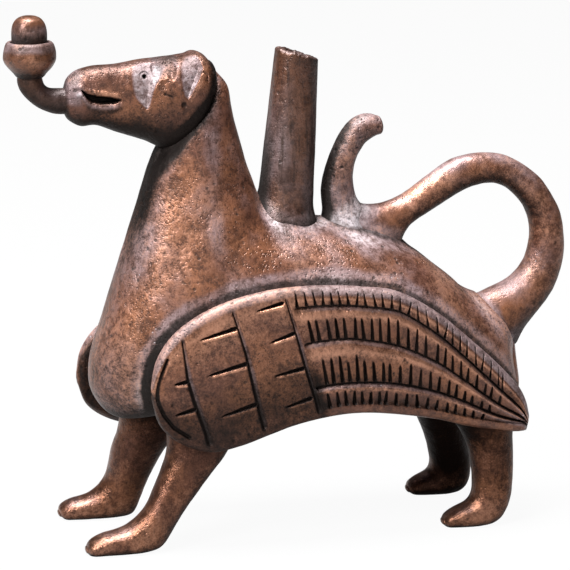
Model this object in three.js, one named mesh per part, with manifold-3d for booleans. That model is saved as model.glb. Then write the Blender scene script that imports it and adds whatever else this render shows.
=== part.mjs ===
// A small bronze candlestick in the shape of a standing winged beast.
// The hollow body and neck carry every other piece: head, wings, legs, candle shaft and tail are
// pegged into it, and a stem held in the mouth carries a bud.
//
// Millimetres, Z up from the soles. Lengths run along X from the foot of the candle shaft, the head
// towards -X. The beast's left side is -Y.

import * as THREE from 'three';
import { ConvexGeometry } from 'three/addons/geometries/ConvexGeometry.js';
import { mergeVertices } from 'three/addons/utils/BufferGeometryUtils.js';
import Module from 'manifold-3d';

const wasm = await Module();
wasm.setup();

// Driving sizes
const SEAM = 0.3; // gap between two pieces that touch
const WALL = 3.2; // bronze round the hollow of the body
const BODY_HALF = 24; // half the breadth of the barrel
const NECK_HALF = 11; // half the breadth of the neck under the jaw
const MIDDLE_AT = 2.05; // middle of the whole length, behind the shaft's foot
const SOLES_AT = 0.4; // the feet are filed flat at this height

const CORE_HOLE_LENGTH = 26; // opening in the belly where the casting core came out
const CORE_HOLE_BREADTH = 18;
const CORE_HOLE_AT = 9;

const HEAD_HALF = 11.6; // half the breadth of the head across the cheeks
const PUPIL_RADIUS = 0.8;
const PUPIL_DEPTH = 1.5;
const PUPIL_AT = [-45.5, 146.6];

const WING_EDGE = 25.4; // the wing's outermost edge line, from the middle plane
const WING_RISE = 2.7; // rounded edge up to the wing's face
const WING_CROWN = 1.1; // further rise to the middle of the face
const WING_BACK = 2.4; // edge line to the back of the free front lobe
const WING_ROOT = 9; // edge line to the back where the wing lies on the flank
const WING_EDGE_RADIUS = 3.2;
const WING_PEG = 6; // diameter of the two pegs under each wing
const WING_PEG_END = 13; // from the middle plane, inside the hollow
const WING_PEG_SPOTS = [[-20, 60], [40, 58]];
const FEATHER_GROOVE = 1.5; // width of the long grooves between the feathers
const FEATHER_DEPTH = 1.1;
const COVERT_DEPTH = 1; // the cross lines on the wing's front
const DASH_WIDTH = 1.5;
const DASH_DEPTH = 1.2;
const BARB_WIDTH = 1.2;
const BARB_DEPTH = 0.9;
const RIM_LINE_WIDTH = 1;
const RIM_LINE_DEPTH = 0.8;
const RIGHT_WING_STRETCH = 1.118; // the right wing is longer, slimmer and set lower in front
const RIGHT_WING_SLIM = 0.9;
const RIGHT_WING_DROOP = 1.9; // degrees

const HIP = 12.5; // middle plane to the middle of a leg at the belly
const HIP_HEIGHT = 40;
const LEG_PEG = 7;
const FRONT_LEG_PEG_AT = -35.5;
const HIND_LEG_PEG_AT = 62.5;
const LEG_PEG_TOP = 51;

const SHAFT_FOOT_HEIGHT = 104;
const SHAFT_HEIGHT = 50; // foot to the highest point of the broken rim
const SHAFT_RADIUS_TOP = 6.7;
const SHAFT_RADIUS_FOOT = 8.8;
const SHAFT_LEAN = 4.3; // degrees, towards the tail
const SHAFT_FLARE = 1.6; // extra radius where the foot meets the back
const SHAFT_PEG = 10;
const SHAFT_PEG_DEPTH = 14; // below the foot
const SOCKET_BORE = 8.6; // takes a slender taper
const SOCKET_DEPTH = 38;
const RIM_SLOPE = 3.4; // fall of the rim from front to back
const RIM_CHIP = 0.7; // height of the chips along the rim

const TAIL_PEG = 9;
const TAIL_PEG_TOP = [73, 69];
const TAIL_PEG_END = [62, 57];
const TAIL_TIE_PEG = 5; // holds the tail's lower end down on the back
const TAIL_TIE_TOP = [32.5, 97];
const TAIL_TIE_END = [30.5, 86];
const CURL_PEG = 6;
const CURL_PEG_TOP = [18.8, 104];
const CURL_PEG_END = [18.8, 88];

const BUD_AT = -79.5; // middle of the bud
const BUD_TILT = 3; // degrees, its rim higher towards the head
const CUP_FOOT = 146.4;
const CUP_HEIGHT = 11.2;
const CUP_RADIUS = 8;
const CUP_FOOT_RADIUS = 4.2;
const KERNEL_RADIUS = 5.3;
const KERNEL_HEIGHT = 12.1;
const KERNEL_SEAT = 4; // how deep the kernel sits in the cup
const STEM_IN_CUP = 2.3;

// Each row is one section: its upper and lower point in the middle plane, then half its breadth.
const BODY = [
  [71.8, 56.6, 75, 37.6, 10.5],
  [68.6, 64, 71, 36.8, 14.8],
  [61, 71.3, 62, 37.5, 18],
  [49.9, 81.8, 50, 39.5, 21],
  [37.8, 90, 37, 41.5, 23],
  [19.7, 96.8, 20, 42.5, BODY_HALF],
  [4, 98.9, 2, 42.5, BODY_HALF],
  [-5, 101, -20, 41.8, BODY_HALF - 0.5],
  [-8.5, 104, -38, 39.8, BODY_HALF - 1],
  [-10, 107.5, -54, 39, BODY_HALF - 2],
  [-11.2, 112, -61.5, 46, BODY_HALF - 3.2],
  [-12.6, 116.5, -62.5, 56, BODY_HALF - 4.8],
  [-13.7, 120.5, -58.5, 69.5, BODY_HALF - 6.8],
  [-15.3, 126.5, -53.2, 86, NECK_HALF + 4],
  [-16.6, 131.5, -47.5, 103, NECK_HALF + 1.8],
  [-17.5, 136.5, -42.6, 119.5, NECK_HALF],
  [-18, 142.8, -38.5, 128, NECK_HALF - 2.4],
  [-21.3, 148.2, -33.5, 138, NECK_HALF - 4.6],
];

const HEAD = [
  [-69.4, 142, -69.7, 136, 3.4],
  [-68.2, 146, -68.2, 133.3, 4.8],
  [-65, 148.4, -64.5, 131.2, 5.9],
  [-59.7, 149.6, -60, 131.3, 6.5],
  [-52, 149.5, -53, 128.9, 7.6],
  [-45, 151.5, -45.5, 126.4, 9.4],
  [-38, 152, -39, 123.5, HEAD_HALF - 0.6],
  [-32.3, 152.3, -33, 124.5, HEAD_HALF],
  [-29.1, 153.2, -29, 128.4, HEAD_HALF],
  [-26.4, 152.3, -26.4, 133, HEAD_HALF - 0.8],
  [-24.4, 150.2, -24.4, 138, HEAD_HALF - 3],
];

const FRONT_LEG = [
  [-66.6, 4.2, -66, 1.2, 3.4],
  [-61.8, 7.1, -60.8, -0.4, 5.2],
  [-57, 8.2, -54, -0.4, 5.8],
  [-52.6, 10.2, -47.6, -0.1, 6],
  [-48.8, 14, -43.4, 1.6, 6],
  [-46.1, 19.2, -38.8, 8.6, 6.2],
  [-43.4, 24.8, -33.1, 16.2, 6.6],
  [-41.3, 30, -27.3, 23.2, 7.4],
  [-41, 36, -21.5, 30, 8.2],
  [-42, 46, -18, 40, 9],
];

const HIND_LEG = [
  [48.4, 3.9, 48.9, 1, 3.4],
  [52, 6.4, 54.4, -0.4, 5.2],
  [55.8, 8.2, 61, -0.2, 6],
  [57.6, 10.8, 66.6, 1.4, 6.2],
  [57.9, 14.6, 70.2, 7.4, 6.3],
  [57.6, 19.5, 71.3, 17.2, 6.4],
  [56.5, 26, 71.2, 25.8, 7],
  [53.4, 32, 71.2, 31.6, 8],
  [48.6, 37, 72, 37.6, 9],
  [44, 43, 73, 44, 9.5],
];

// The tail: outer and inner edge of the rod as it rises from the rump, loops over and comes down.
const TAIL = [
  [68, 49, 55, 63, 7],
  [75.6, 56.2, 61, 71, 7.6],
  [82.2, 64, 69.7, 74.4, 7.2],
  [87.5, 70.5, 75.4, 77.6, 6.6],
  [91.3, 79.2, 79.3, 83, 5.9],
  [92.1, 89, 80.9, 91.2, 5.6],
  [89.7, 100.4, 79.3, 98.4, 5.4],
  [83.4, 109.2, 75.2, 103.8, 5.1],
  [75.7, 115.1, 70.6, 107.2, 4.8],
  [66.4, 118, 65, 108.2, 4.7],
  [56.5, 117.1, 58.8, 106.5, 4.8],
  [49.1, 113.2, 53, 103.4, 5],
  [41.5, 107.6, 46.5, 99.3, 5.1],
  [36.6, 104.6, 40.2, 96, 5.2],
  [31, 102.8, 36.8, 90, 5.4],
  [26, 102.6, 30, 88, 5.6],
  [21, 102, 23, 88, 5.3],
];

const CURL = [
  [12.2, 91, 25.6, 91, 6.2],
  [12.4, 98.8, 24.7, 100.5, 5.6],
  [11.6, 105, 22.8, 105.5, 4.9],
  [11.8, 111, 21.7, 111, 4.6],
  [13.6, 117.1, 22.2, 116.2, 4.4],
  [16.2, 123.2, 24, 120, 4.2],
  [20, 129.2, 26.2, 122.8, 4.1],
  [25.3, 132, 28.4, 124.2, 4],
  [29.6, 130.9, 30.4, 124.9, 3.3],
];

const STEM = [
  [-61.5, 142.2, -61.5, 136, 3],
  [-66, 142.8, -66.5, 135.2, 3.7],
  [-70, 143.1, -71, 134.8, 3.9],
  [-73.2, 143.1, -76.4, 136.6, 3.6],
  [-75.3, 144.1, -81.2, 140.2, 3.4],
  [-75.9, 146.3, -83.8, 145.1, 3.6],
  [-76.4, 149, -83, 149, 3],
];

// Top and bottom edge of the left wing, seen from the side, then the depth of its edge line inside
// WING_EDGE.
const WING = [
  [-47.9, 55, -47.6, 49, 1],
  [-46.6, 61, -45.2, 41.4, 0.8],
  [-43.3, 67.3, -38.6, 35.3, 0.5],
  [-38.3, 72.4, -29.5, 32.2, 0.3],
  [-31, 76.8, -20.5, 33.5, 0.1],
  [-23, 79.9, -11.5, 36.4, 0],
  [-14.5, 81.9, -3.5, 39, 0],
  [-5.7, 83, 4.5, 40.7, 0],
  [6, 83.1, 13, 41.7, 0],
  [18, 82.1, 21.5, 41.6, 0.2],
  [30, 79.8, 31, 40.3, 0.8],
  [42.9, 72.3, 42.5, 37.9, 2],
  [54, 63, 53, 34.7, 3.6],
  [65.2, 52.6, 63, 32, 5.6],
  [72.8, 43.8, 70.8, 30.6, 7],
  [75.8, 37.6, 75, 30.4, 7.8],
];
const COVERT_ROWS = [2.87, 4.97, 6.97]; // cross lines
const FEATHERS_FROM = 7; // the row where the long feathers start
// The three long grooves: a row, then their shares of the face there from top to bottom
const FEATHER_LINES = [
  [7, 0.09, 0.41, 0.8],
  [8.5, 0.08, 0.385, 0.795],
  [10, 0.09, 0.425, 0.79],
  [11, 0.13, 0.45, 0.785],
  [12, 0.18, 0.5, 0.79],
  [13, 0.26, 0.6, 0.85],
  [15, 0.4, 0.7, 0.92],
];
const FREE_LOBE_ROWS = 4; // the wing stands clear of the chest up to this row

// Short scored dashes on the wing's front: row and share at each end
const DASHES = [
  [1.75, 0.75, 2.78, 0.65],
  [1.95, 0.35, 2.72, 0.375],
  [3.35, 0.08, 4.9, 0.13],
  [3.3, 0.39, 4.9, 0.43],
  [3.5, 0.77, 4.9, 0.775],
  [5.6, 0.045, 6.75, 0.03],
  [5.8, 0.33, 6.9, 0.29],
  [5.6, 0.6, 6.9, 0.6],
  [5.75, 0.89, 6.9, 0.87],
];
// Rows of barbs, one in each feather: the rows they span, how many, and the shares of the feather's
// own breadth they run between
const BARBS = [
  { from: 7.2, to: 12.9, count: 24, top: 0.05, bottom: 0.8 },
  { from: 7.37, to: 12.85, count: 22, top: 0.28, bottom: 0.92 },
  { from: 7.5, to: 12.1, count: 17, top: 0.42, bottom: 0.92 },
  { from: 7.5, to: 12.1, count: 14, top: 0.35, bottom: 0.9 },
];

const toRadians = THREE.MathUtils.degToRad;

// A closed triangle mesh becomes a solid with its faces pointing out
function solidFrom(points, triangles) {
  let volume = 0;
  const [a, b, c] = [new THREE.Vector3(), new THREE.Vector3(), new THREE.Vector3()];
  for (let i = 0; i < triangles.length; i += 3) {
    a.fromArray(points, 3 * triangles[i]);
    b.fromArray(points, 3 * triangles[i + 1]);
    c.fromArray(points, 3 * triangles[i + 2]);
    volume += a.dot(b.cross(c));
  }
  const outward = volume > 0 ? triangles : [...triangles].reverse();
  return new wasm.Manifold(new wasm.Mesh({
    numProp: 3,
    vertProperties: new Float32Array(points),
    triVerts: new Uint32Array(outward),
  }));
}

function solidOf(geometry) {
  geometry.deleteAttribute('normal');
  geometry.deleteAttribute('uv');
  const merged = mergeVertices(geometry, 1e-4);
  const index = merged.index.array;
  const triangles = [];
  for (let i = 0; i < index.length; i += 3) {
    const [a, b, c] = [index[i], index[i + 1], index[i + 2]];
    if (a !== b && b !== c && c !== a) triangles.push(a, b, c);
  }
  return solidFrom(Array.from(merged.attributes.position.array), triangles);
}

// Rings of equal count are joined in order and closed with a point at each end
function skin(start, rings, end) {
  const points = [...start.toArray()];
  for (const ring of rings) {
    for (const p of ring) points.push(p.x, p.y, p.z);
  }
  points.push(...end.toArray());
  const sides = rings[0].length;
  const last = 1 + rings.length * sides;
  const triangles = [];
  for (let j = 0; j < sides; j++) {
    const k = (j + 1) % sides;
    triangles.push(0, 1 + k, 1 + j);
    for (let i = 0; i < rings.length - 1; i++) {
      const near = 1 + i * sides;
      const far = near + sides;
      triangles.push(near + j, near + k, far + j, near + k, far + k, far + j);
    }
    triangles.push(last, last - sides + j, last - sides + k);
  }
  return solidFrom(points, triangles);
}

// A smooth curve through the rows, read at a fractional row number
function rowAt(rows, t) {
  const i = Math.min(Math.max(Math.floor(t), 0), rows.length - 2);
  const f = t - i;
  const [b, c] = [rows[i], rows[i + 1]];
  const a = rows[i - 1] ?? b.map((v, k) => 2 * v - c[k]);
  const d = rows[i + 2] ?? c.map((v, k) => 2 * v - b[k]);
  return b.map((v, k) => v + 0.5 * f * (c[k] - a[k]
    + f * (2 * a[k] - 5 * v + 4 * c[k] - d[k] + f * (3 * (v - c[k]) + d[k] - a[k]))));
}

const power = (value, exponent) => Math.sign(value) * Math.abs(value) ** exponent;

// One section: a superellipse standing between its upper and lower point
function section(row, { sides, grow, square, acrossAt }) {
  const upper = new THREE.Vector3(row[0], 0, row[1]);
  const lower = new THREE.Vector3(row[2], 0, row[3]);
  const centre = upper.clone().add(lower).multiplyScalar(0.5);
  const rise = upper.clone().sub(centre);
  rise.setLength(rise.length() + grow);
  centre.y = acrossAt(centre);
  const ring = [];
  for (let j = 0; j < sides; j++) {
    const angle = (2 * Math.PI * j) / sides;
    const point = centre.clone().addScaledVector(rise, power(Math.sin(angle), 2 / square));
    point.y += (row[4] + grow) * power(Math.cos(angle), 2 / square);
    ring.push(point);
  }
  return { ring, centre, rise };
}

// Sections along the rows, each end rounded off by the given depth
function loft(rows, options) {
  const shape = { from: 0, to: rows.length - 1, grow: 0, square: 2.2, roundings: 3,
    startDepth: 0, endDepth: 0, acrossAt: () => 0, ...options };
  const count = Math.round((shape.to - shape.from) * shape.perRow);
  const sections = [];
  for (let i = 0; i <= count; i++) {
    const t = shape.from + ((shape.to - shape.from) * i) / count;
    sections.push(section(rowAt(rows, t), shape));
  }
  const cap = (end, before, depth) => {
    const away = new THREE.Vector3(end.rise.z, 0, -end.rise.x).normalize();
    if (away.dot(end.centre.clone().sub(before.centre)) < 0) away.negate();
    const rings = [];
    const reach = depth + shape.grow;
    for (let k = 1; depth > 0 && k < shape.roundings; k++) {
      const angle = (Math.PI / 2) * (k / shape.roundings);
      rings.push(end.ring.map((p) => p.clone().sub(end.centre).multiplyScalar(Math.cos(angle))
        .add(end.centre).addScaledVector(away, reach * Math.sin(angle))));
    }
    return { rings, pole: end.centre.clone().addScaledVector(away, reach) };
  };
  const start = cap(sections[0], sections[1], shape.startDepth);
  const end = cap(sections[count], sections[count - 1], shape.endDepth);
  const rings = [...start.rings.reverse(), ...sections.map((s) => s.ring), ...end.rings];
  return skin(start.pole, rings, end.pole);
}

// A round peg from one point to another
function peg(from, to, diameter, sides = 10) {
  const along = to.clone().sub(from);
  const geometry = new THREE.CylinderGeometry(diameter / 2, diameter / 2, along.length(), sides);
  const turn = new THREE.Quaternion().setFromUnitVectors(
    new THREE.Vector3(0, 1, 0), along.clone().normalize());
  geometry.applyQuaternion(turn);
  geometry.translate(...from.clone().add(to).multiplyScalar(0.5).toArray());
  return solidOf(geometry);
}

// A V-shaped cut that follows points on a face and runs out to nothing at both ends
function gouge(points, out, width, depth) {
  const rings = [];
  for (let i = 1; i < points.length - 1; i++) {
    const along = points[i + 1].clone().sub(points[i - 1]).normalize();
    const side = along.cross(out).normalize().multiplyScalar(width);
    rings.push([
      points[i].clone().add(side).addScaledVector(out, depth),
      points[i].clone().addScaledVector(out, -depth),
      points[i].clone().sub(side).addScaledVector(out, depth),
    ]);
  }
  return skin(points[0], rings, points[points.length - 1]);
}

const cutEach = (solid, cutters) => cutters.reduce((rest, cutter) => rest.subtract(cutter), solid);
const point = (x, y, z) => new THREE.Vector3(x, y, z);

// Body and neck
const bodyForm = (grow) => loft(BODY, {
  grow, sides: 28, perRow: 1.25, square: 2.25, startDepth: 2.5, endDepth: 3,
});
const bodySeat = bodyForm(SEAM);

function coreHole() {
  const geometry = new THREE.CylinderGeometry(1, 1, 30, 24);
  geometry.rotateX(Math.PI / 2);
  geometry.scale(CORE_HOLE_LENGTH / 2, CORE_HOLE_BREADTH / 2, 1);
  geometry.translate(CORE_HOLE_AT, 0, BODY[6][3]);
  return solidOf(geometry);
}

function makeBody() {
  const hollow = loft(BODY, {
    from: 0.6, to: 13.6, grow: -WALL, sides: 18, perRow: 0.85, square: 2.25, roundings: 2,
    startDepth: 1, endDepth: 4,
  });
  const holes = [
    coreHole(),
    ...SIDES.flatMap((side) => wingPegs(side, 2 * SEAM)),
    ...LEGS.map((leg) => legPeg(leg, 2 * SEAM)),
    shaftPeg(2 * SEAM), tailPeg(2 * SEAM), tailTiePeg(2 * SEAM), curlPeg(2 * SEAM),
  ];
  return cutEach(bodyForm(0), [hollow, ...holes]);
}

// Head: it fits over the upper end of the neck like a cap
function makeHead() {
  let head = loft(HEAD, { sides: 20, perRow: 1.3, square: 2.5, startDepth: 1.6, endDepth: 2.2 });
  for (const side of [-1, 1]) {
    head = cutEach(head, [eyeHollow(side), earHollow(side), pupil(side), mouth(side)]);
  }
  return head.subtract(bodySeat).subtract(stemForm(SEAM));
}

const convex = (corners, side) => solidOf(new ConvexGeometry(
  corners.map(([x, y, z]) => point(x, side * y, z))));

// The valley of the eye: a wide shallow face towards the snout and a steep one towards the cheek
const eyeHollow = (side) => convex([
  [-42, 4.1, 153], [-46.1, 9.8, 134],
  [-56, 6, 153], [-52, 10.8, 134], [-56, 16, 153], [-52, 16, 134],
  [-38, 16, 153], [-41.5, 16, 134],
], side);

// The ear: a scoop that narrows to a point below
const earHollow = (side) => convex([
  [-27.6, 3.8, 153], [-34.6, 13, 137],
  [-37.6, 7, 153], [-37.6, 13.4, 137], [-37.6, 16, 153], [-37.6, 16, 137],
  [-22.5, 16, 153], [-32.6, 16, 137],
], side);

const EYE_FLOOR = 6.4; // the valley of the eye at the pupil, from the middle plane
function pupil(side) {
  const [x, z] = PUPIL_AT;
  return peg(point(x, side * (HEAD_HALF + 2), z), point(x, side * (EYE_FLOOR - PUPIL_DEPTH), z),
    2 * PUPIL_RADIUS);
}

const mouth = (side) => convex([
  [-64.8, 8, 143], [-64.8, 3.5, 143], [-60, 9, 141.5], [-60, 4.5, 141.5],
  [-61.5, 9, 139.2], [-61.5, 4.5, 139.2], [-58, 9.5, 138.8], [-58, 5, 138.8],
  [-52.7, 10, 139.7], [-52.7, 6.9, 139.7],
], side);

// Wings
const SIDES = [-1, 1];

function wingRow(t, side) {
  const [topX, topZ, lowX, lowZ, inset] = rowAt(WING, t);
  const place = (x, z) => {
    const spot = new THREE.Vector2(x, z);
    if (side < 0) return spot;
    const [tipX, tipZ] = WING[WING.length - 1];
    const tip = new THREE.Vector2(tipX, tipZ);
    spot.sub(tip);
    spot.x *= RIGHT_WING_STRETCH;
    spot.y *= RIGHT_WING_SLIM;
    return spot.rotateAround(new THREE.Vector2(), toRadians(RIGHT_WING_DROOP)).add(tip);
  };
  return { top: place(topX, topZ), low: place(lowX, lowZ), edge: WING_EDGE - inset };
}

// Height of the wing's face over its edge line, at a share of the way from top to bottom
const wingCrown = (share) => WING_RISE + WING_CROWN * (1 - (2 * share - 1) ** 2);

// Shares of the face that bound the feathers at a row
function featherLines(t) {
  const after = Math.max(FEATHER_LINES.findIndex(([row]) => row > t), 1);
  const [below, above] = t < FEATHER_LINES[FEATHER_LINES.length - 1][0]
    ? [FEATHER_LINES[after - 1], FEATHER_LINES[after]] : FEATHER_LINES.slice(-2);
  const f = Math.max((t - below[0]) / (above[0] - below[0]), 0);
  return [0, ...[1, 2, 3].map((k) => below[k] + (above[k] - below[k]) * f), 1];
}

// A point of the wing: share runs over the face inside its rounded edges
function wingPoint(t, share, height, side) {
  const { top, low, edge } = wingRow(t, side);
  const round = Math.min(WING_EDGE_RADIUS / top.distanceTo(low), 0.3);
  const spot = top.clone().lerp(low, round + (1 - 2 * round) * share);
  return point(spot.x, side * (edge + height), spot.y);
}

function wingRing(t, side, crossDepth) {
  const { top, low, edge } = wingRow(t, side);
  const breadth = top.distanceTo(low);
  const round = Math.min(WING_EDGE_RADIUS / breadth, 0.3);
  const at = (share, height) => {
    const spot = top.clone().lerp(low, share);
    return point(spot.x, side * (edge + height), spot.y);
  };
  const grooveDepth = FEATHER_DEPTH * THREE.MathUtils.smoothstep(t, FEATHERS_FROM, FEATHERS_FROM + 0.3)
    * Math.min(1, breadth / 14);
  const grooveHalf = Math.min(FEATHER_GROOVE / 2 / breadth, 0.05);
  const face = (share, cut) => wingPoint(t, share, wingCrown(share) - cut - crossDepth, side);
  const edgeSteps = [0, 0.3];
  const edgeRise = (step) => WING_RISE * Math.sqrt(1 - (1 - step) ** 2);
  const ring = edgeSteps.map((step) => at(step * round, edgeRise(step)));
  const splits = featherLines(t);
  for (let k = 0; k < splits.length - 1; k++) {
    if (k > 0) {
      ring.push(face(splits[k], grooveDepth));
      ring.push(face(splits[k] + grooveHalf, 0));
    }
    ring.push(face((splits[k] + splits[k + 1]) / 2, 0));
    if (k < splits.length - 2) ring.push(face(splits[k + 1] - grooveHalf, 0));
  }
  ring.push(...[...edgeSteps].reverse().map((step) => at(1 - step * round, edgeRise(step))));
  const free = 1 - THREE.MathUtils.smoothstep(t, FREE_LOBE_ROWS - 1, FREE_LOBE_ROWS + 1);
  const back = WING_ROOT + (WING_BACK - WING_ROOT) * free;
  ring.push(at(1 - 0.3 * round, -0.6 * back), at(0.8, -back), at(0.5, -back), at(0.2, -back));
  ring.push(at(0.3 * round, -0.6 * back));
  return ring;
}

function wingForm(side) {
  const lineHalf = 0.1; // half the breadth of a cross line, in rows
  const stops = [];
  for (const row of COVERT_ROWS) {
    stops.push([row - lineHalf, 0], [row, COVERT_DEPTH], [row + lineHalf, 0]);
  }
  for (const row of [0, 0.4, 1, 1.7, 2.3, 3.7, 4.3, 6]) stops.push([row, 0]);
  for (let t = FEATHERS_FROM + 0.3; t < WING.length - 1; t += 0.75) stops.push([t, 0]);
  stops.push([WING.length - 1, 0]);
  stops.sort((a, b) => a[0] - b[0]);
  const rings = stops.map(([t, depth]) => wingRing(t, side, depth));
  const first = wingRow(0, side);
  const last = wingRow(WING.length - 1, side);
  const start = first.top.clone().lerp(first.low, 0.5);
  const end = last.top.clone().lerp(last.low, 0.5);
  return skin(
    point(start.x - 0.7, side * first.edge, start.y), rings,
    point(end.x + 0.9, side * last.edge, end.y));
}

function wingCuts(side) {
  const out = point(0, side, 0);
  const onFace = (t, share) => wingPoint(t, share, wingCrown(share), side);
  const line = (t0, share0, t1, share1) => [0, 0.5, 1].map(
    (f) => onFace(t0 + (t1 - t0) * f, share0 + (share1 - share0) * f));
  const dashes = DASHES.map((d) => gouge(line(...d), out, DASH_WIDTH / 2, DASH_DEPTH));
  const barbs = BARBS.flatMap(({ from, to, count, top, bottom }, feather) => {
    const cuts = [];
    for (let i = 0; i < count; i++) {
      const t = from + ((to - from) * i) / (count - 1);
      const [above, below] = featherLines(t).slice(feather, feather + 2);
      const share = (f) => above + (below - above) * f;
      cuts.push(gouge(line(t, share(top), t, share(bottom)), out, BARB_WIDTH / 2, BARB_DEPTH));
    }
    return cuts;
  });
  const rim = [[1.9, 0.03], [1.35, 0.12], [1, 0.25], [0.86, 0.4], [0.84, 0.55], [0.95, 0.7],
    [1.2, 0.85], [1.7, 0.94], [2.3, 0.97]].map(([t, share]) => onFace(t, share));
  return [...dashes, ...barbs, gouge(rim, out, RIM_LINE_WIDTH / 2, RIM_LINE_DEPTH)];
}

const wingPegs = (side, extra) => WING_PEG_SPOTS.map(([x, z]) => peg(
  point(x, side * (WING_EDGE - 1), z), point(x, side * WING_PEG_END, z), WING_PEG + extra));

function makeWing(side) {
  const legs = LEGS.filter((leg) => leg.side === side)
    .flatMap((leg) => [legForm(leg, SEAM), legPeg(leg, 2 * SEAM)]);
  const wing = cutEach(wingForm(side), [bodySeat, ...legs]);
  const carved = cutEach(wing, wingCuts(side));
  return wingPegs(side, 0).reduce((whole, part) => whole.add(part), carved);
}

// Legs. The right legs are set a little further forward, as if the beast were stepping. The stance
// is the distance from the middle plane to the middle of the foot.
const LEGS = [
  { name: 'front_left_leg', side: -1, rows: FRONT_LEG, stance: 19.5, forward: 0, lean: 0 },
  { name: 'front_right_leg', side: 1, rows: FRONT_LEG, stance: 21, forward: 2.2, lean: 0.3 },
  { name: 'hind_left_leg', side: -1, rows: HIND_LEG, stance: 16.5, forward: 0, lean: 0 },
  { name: 'hind_right_leg', side: 1, rows: HIND_LEG, stance: 21.5, forward: 0.6, lean: 0.26 },
];

const LEAN_HEIGHT = 26; // above this the legs are upright
const LEG_PEG_FROM = 27;
const legForward = ({ forward, lean }, z) => forward + lean * Math.min(z, LEAN_HEIGHT);
const legAcross = ({ side, stance }, z) => side * THREE.MathUtils.lerp(
  HIP, stance, THREE.MathUtils.clamp(1 - z / HIP_HEIGHT, 0, 1));

const legForm = (leg, grow) => loft(
  leg.rows.map(([x0, z0, x1, z1, half]) => [
    x0 - legForward(leg, z0), z0, x1 - legForward(leg, z1), z1, half]),
  {
    grow, sides: 12, perRow: 1.2, square: 2.2, roundings: 2, startDepth: 1.4, endDepth: 2,
    acrossAt: (centre) => legAcross(leg, centre.z),
  });

function legPeg(leg, extra) {
  const x = leg.rows === FRONT_LEG ? FRONT_LEG_PEG_AT : HIND_LEG_PEG_AT;
  const at = (height) => point(x - legForward(leg, height), legAcross(leg, height), height);
  return peg(at(LEG_PEG_FROM), at(LEG_PEG_TOP + extra), LEG_PEG + extra);
}

function makeLeg(leg) {
  const ground = new THREE.BoxGeometry(60, 60, 20);
  ground.translate(leg.rows[4][0], leg.side * leg.stance, SOLES_AT - 10);
  return legForm(leg, 0).subtract(bodySeat).subtract(solidOf(ground)).add(legPeg(leg, 0));
}

// Candle shaft
const SHAFT_TOP = SHAFT_FOOT_HEIGHT + SHAFT_HEIGHT;
const shaftAxis = (z) => point((z - SHAFT_FOOT_HEIGHT) * Math.tan(toRadians(SHAFT_LEAN)), 0, z);

// Height of the broken rim round the shaft
const rimDrop = (angle) => (RIM_SLOPE * (1 + Math.cos(angle))) / 2
  + (RIM_CHIP * (1 + Math.sin(5 * angle + 1) * Math.cos(3 * angle))) / 2;

function shaftOuter() {
  const sides = 24;
  const foot = SHAFT_FOOT_HEIGHT - SHAFT_PEG_DEPTH + 4;
  const rings = [];
  const stops = [
    [foot, SHAFT_RADIUS_FOOT + SHAFT_FLARE + 0.8],
    [SHAFT_FOOT_HEIGHT - 6, SHAFT_RADIUS_FOOT + SHAFT_FLARE],
    [SHAFT_FOOT_HEIGHT - 2, SHAFT_RADIUS_FOOT + 0.45],
    [SHAFT_FOOT_HEIGHT + 2, SHAFT_RADIUS_FOOT],
    [SHAFT_FOOT_HEIGHT + 0.36 * SHAFT_HEIGHT, 0.6 * SHAFT_RADIUS_FOOT + 0.4 * SHAFT_RADIUS_TOP],
    [SHAFT_FOOT_HEIGHT + 0.68 * SHAFT_HEIGHT, 0.3 * SHAFT_RADIUS_FOOT + 0.7 * SHAFT_RADIUS_TOP],
    [SHAFT_TOP - 1, SHAFT_RADIUS_TOP],
    [SHAFT_TOP, SHAFT_RADIUS_TOP - 0.7],
  ];
  for (const [height, radius] of stops) {
    const ring = [];
    for (let j = 0; j < sides; j++) {
      const angle = (2 * Math.PI * j) / sides;
      const drop = height > SHAFT_TOP - 2 ? rimDrop(angle) : 0;
      const corner = 1 + 0.02 * Math.cos(4 * angle + Math.PI);
      const spot = shaftAxis(height - drop);
      spot.x += radius * corner * Math.cos(angle);
      spot.y += radius * corner * Math.sin(angle);
      ring.push(spot);
    }
    rings.push(ring);
  }
  const top = shaftAxis(SHAFT_TOP - RIM_SLOPE / 2 - RIM_CHIP / 2);
  return skin(shaftAxis(foot), rings, top);
}

// The peg starts under the socket's floor
const shaftPeg = (extra) => peg(
  shaftAxis(SHAFT_TOP - SOCKET_DEPTH - 3), shaftAxis(SHAFT_FOOT_HEIGHT - SHAFT_PEG_DEPTH),
  SHAFT_PEG + extra, 14);

function makeShaft() {
  const bore = peg(shaftAxis(SHAFT_TOP + 5), shaftAxis(SHAFT_TOP - SOCKET_DEPTH), SOCKET_BORE, 20);
  return shaftOuter().subtract(bodySeat).subtract(bore).add(shaftPeg(0));
}

// Tail
const curlForm = (grow) => loft(CURL, { grow, sides: 12, perRow: 1.4, square: 2, endDepth: 1.4 });
const midPeg = ([x0, z0], [x1, z1], diameter) => peg(point(x0, 0, z0), point(x1, 0, z1), diameter, 12);
const curlPeg = (extra) => midPeg(CURL_PEG_TOP, CURL_PEG_END, CURL_PEG + extra);
const tailPeg = (extra) => midPeg(TAIL_PEG_TOP, TAIL_PEG_END, TAIL_PEG + extra);
const tailTiePeg = (extra) => midPeg(TAIL_TIE_TOP, TAIL_TIE_END, TAIL_TIE_PEG + extra);

function makeTailCurl() {
  return curlForm(0).subtract(bodySeat).add(curlPeg(0));
}

function makeTailLoop() {
  const rod = loft(TAIL, { sides: 14, perRow: 1.7, square: 2 });
  return rod.subtract(bodySeat).subtract(curlForm(SEAM)).add(tailPeg(0)).add(tailTiePeg(0));
}

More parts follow.
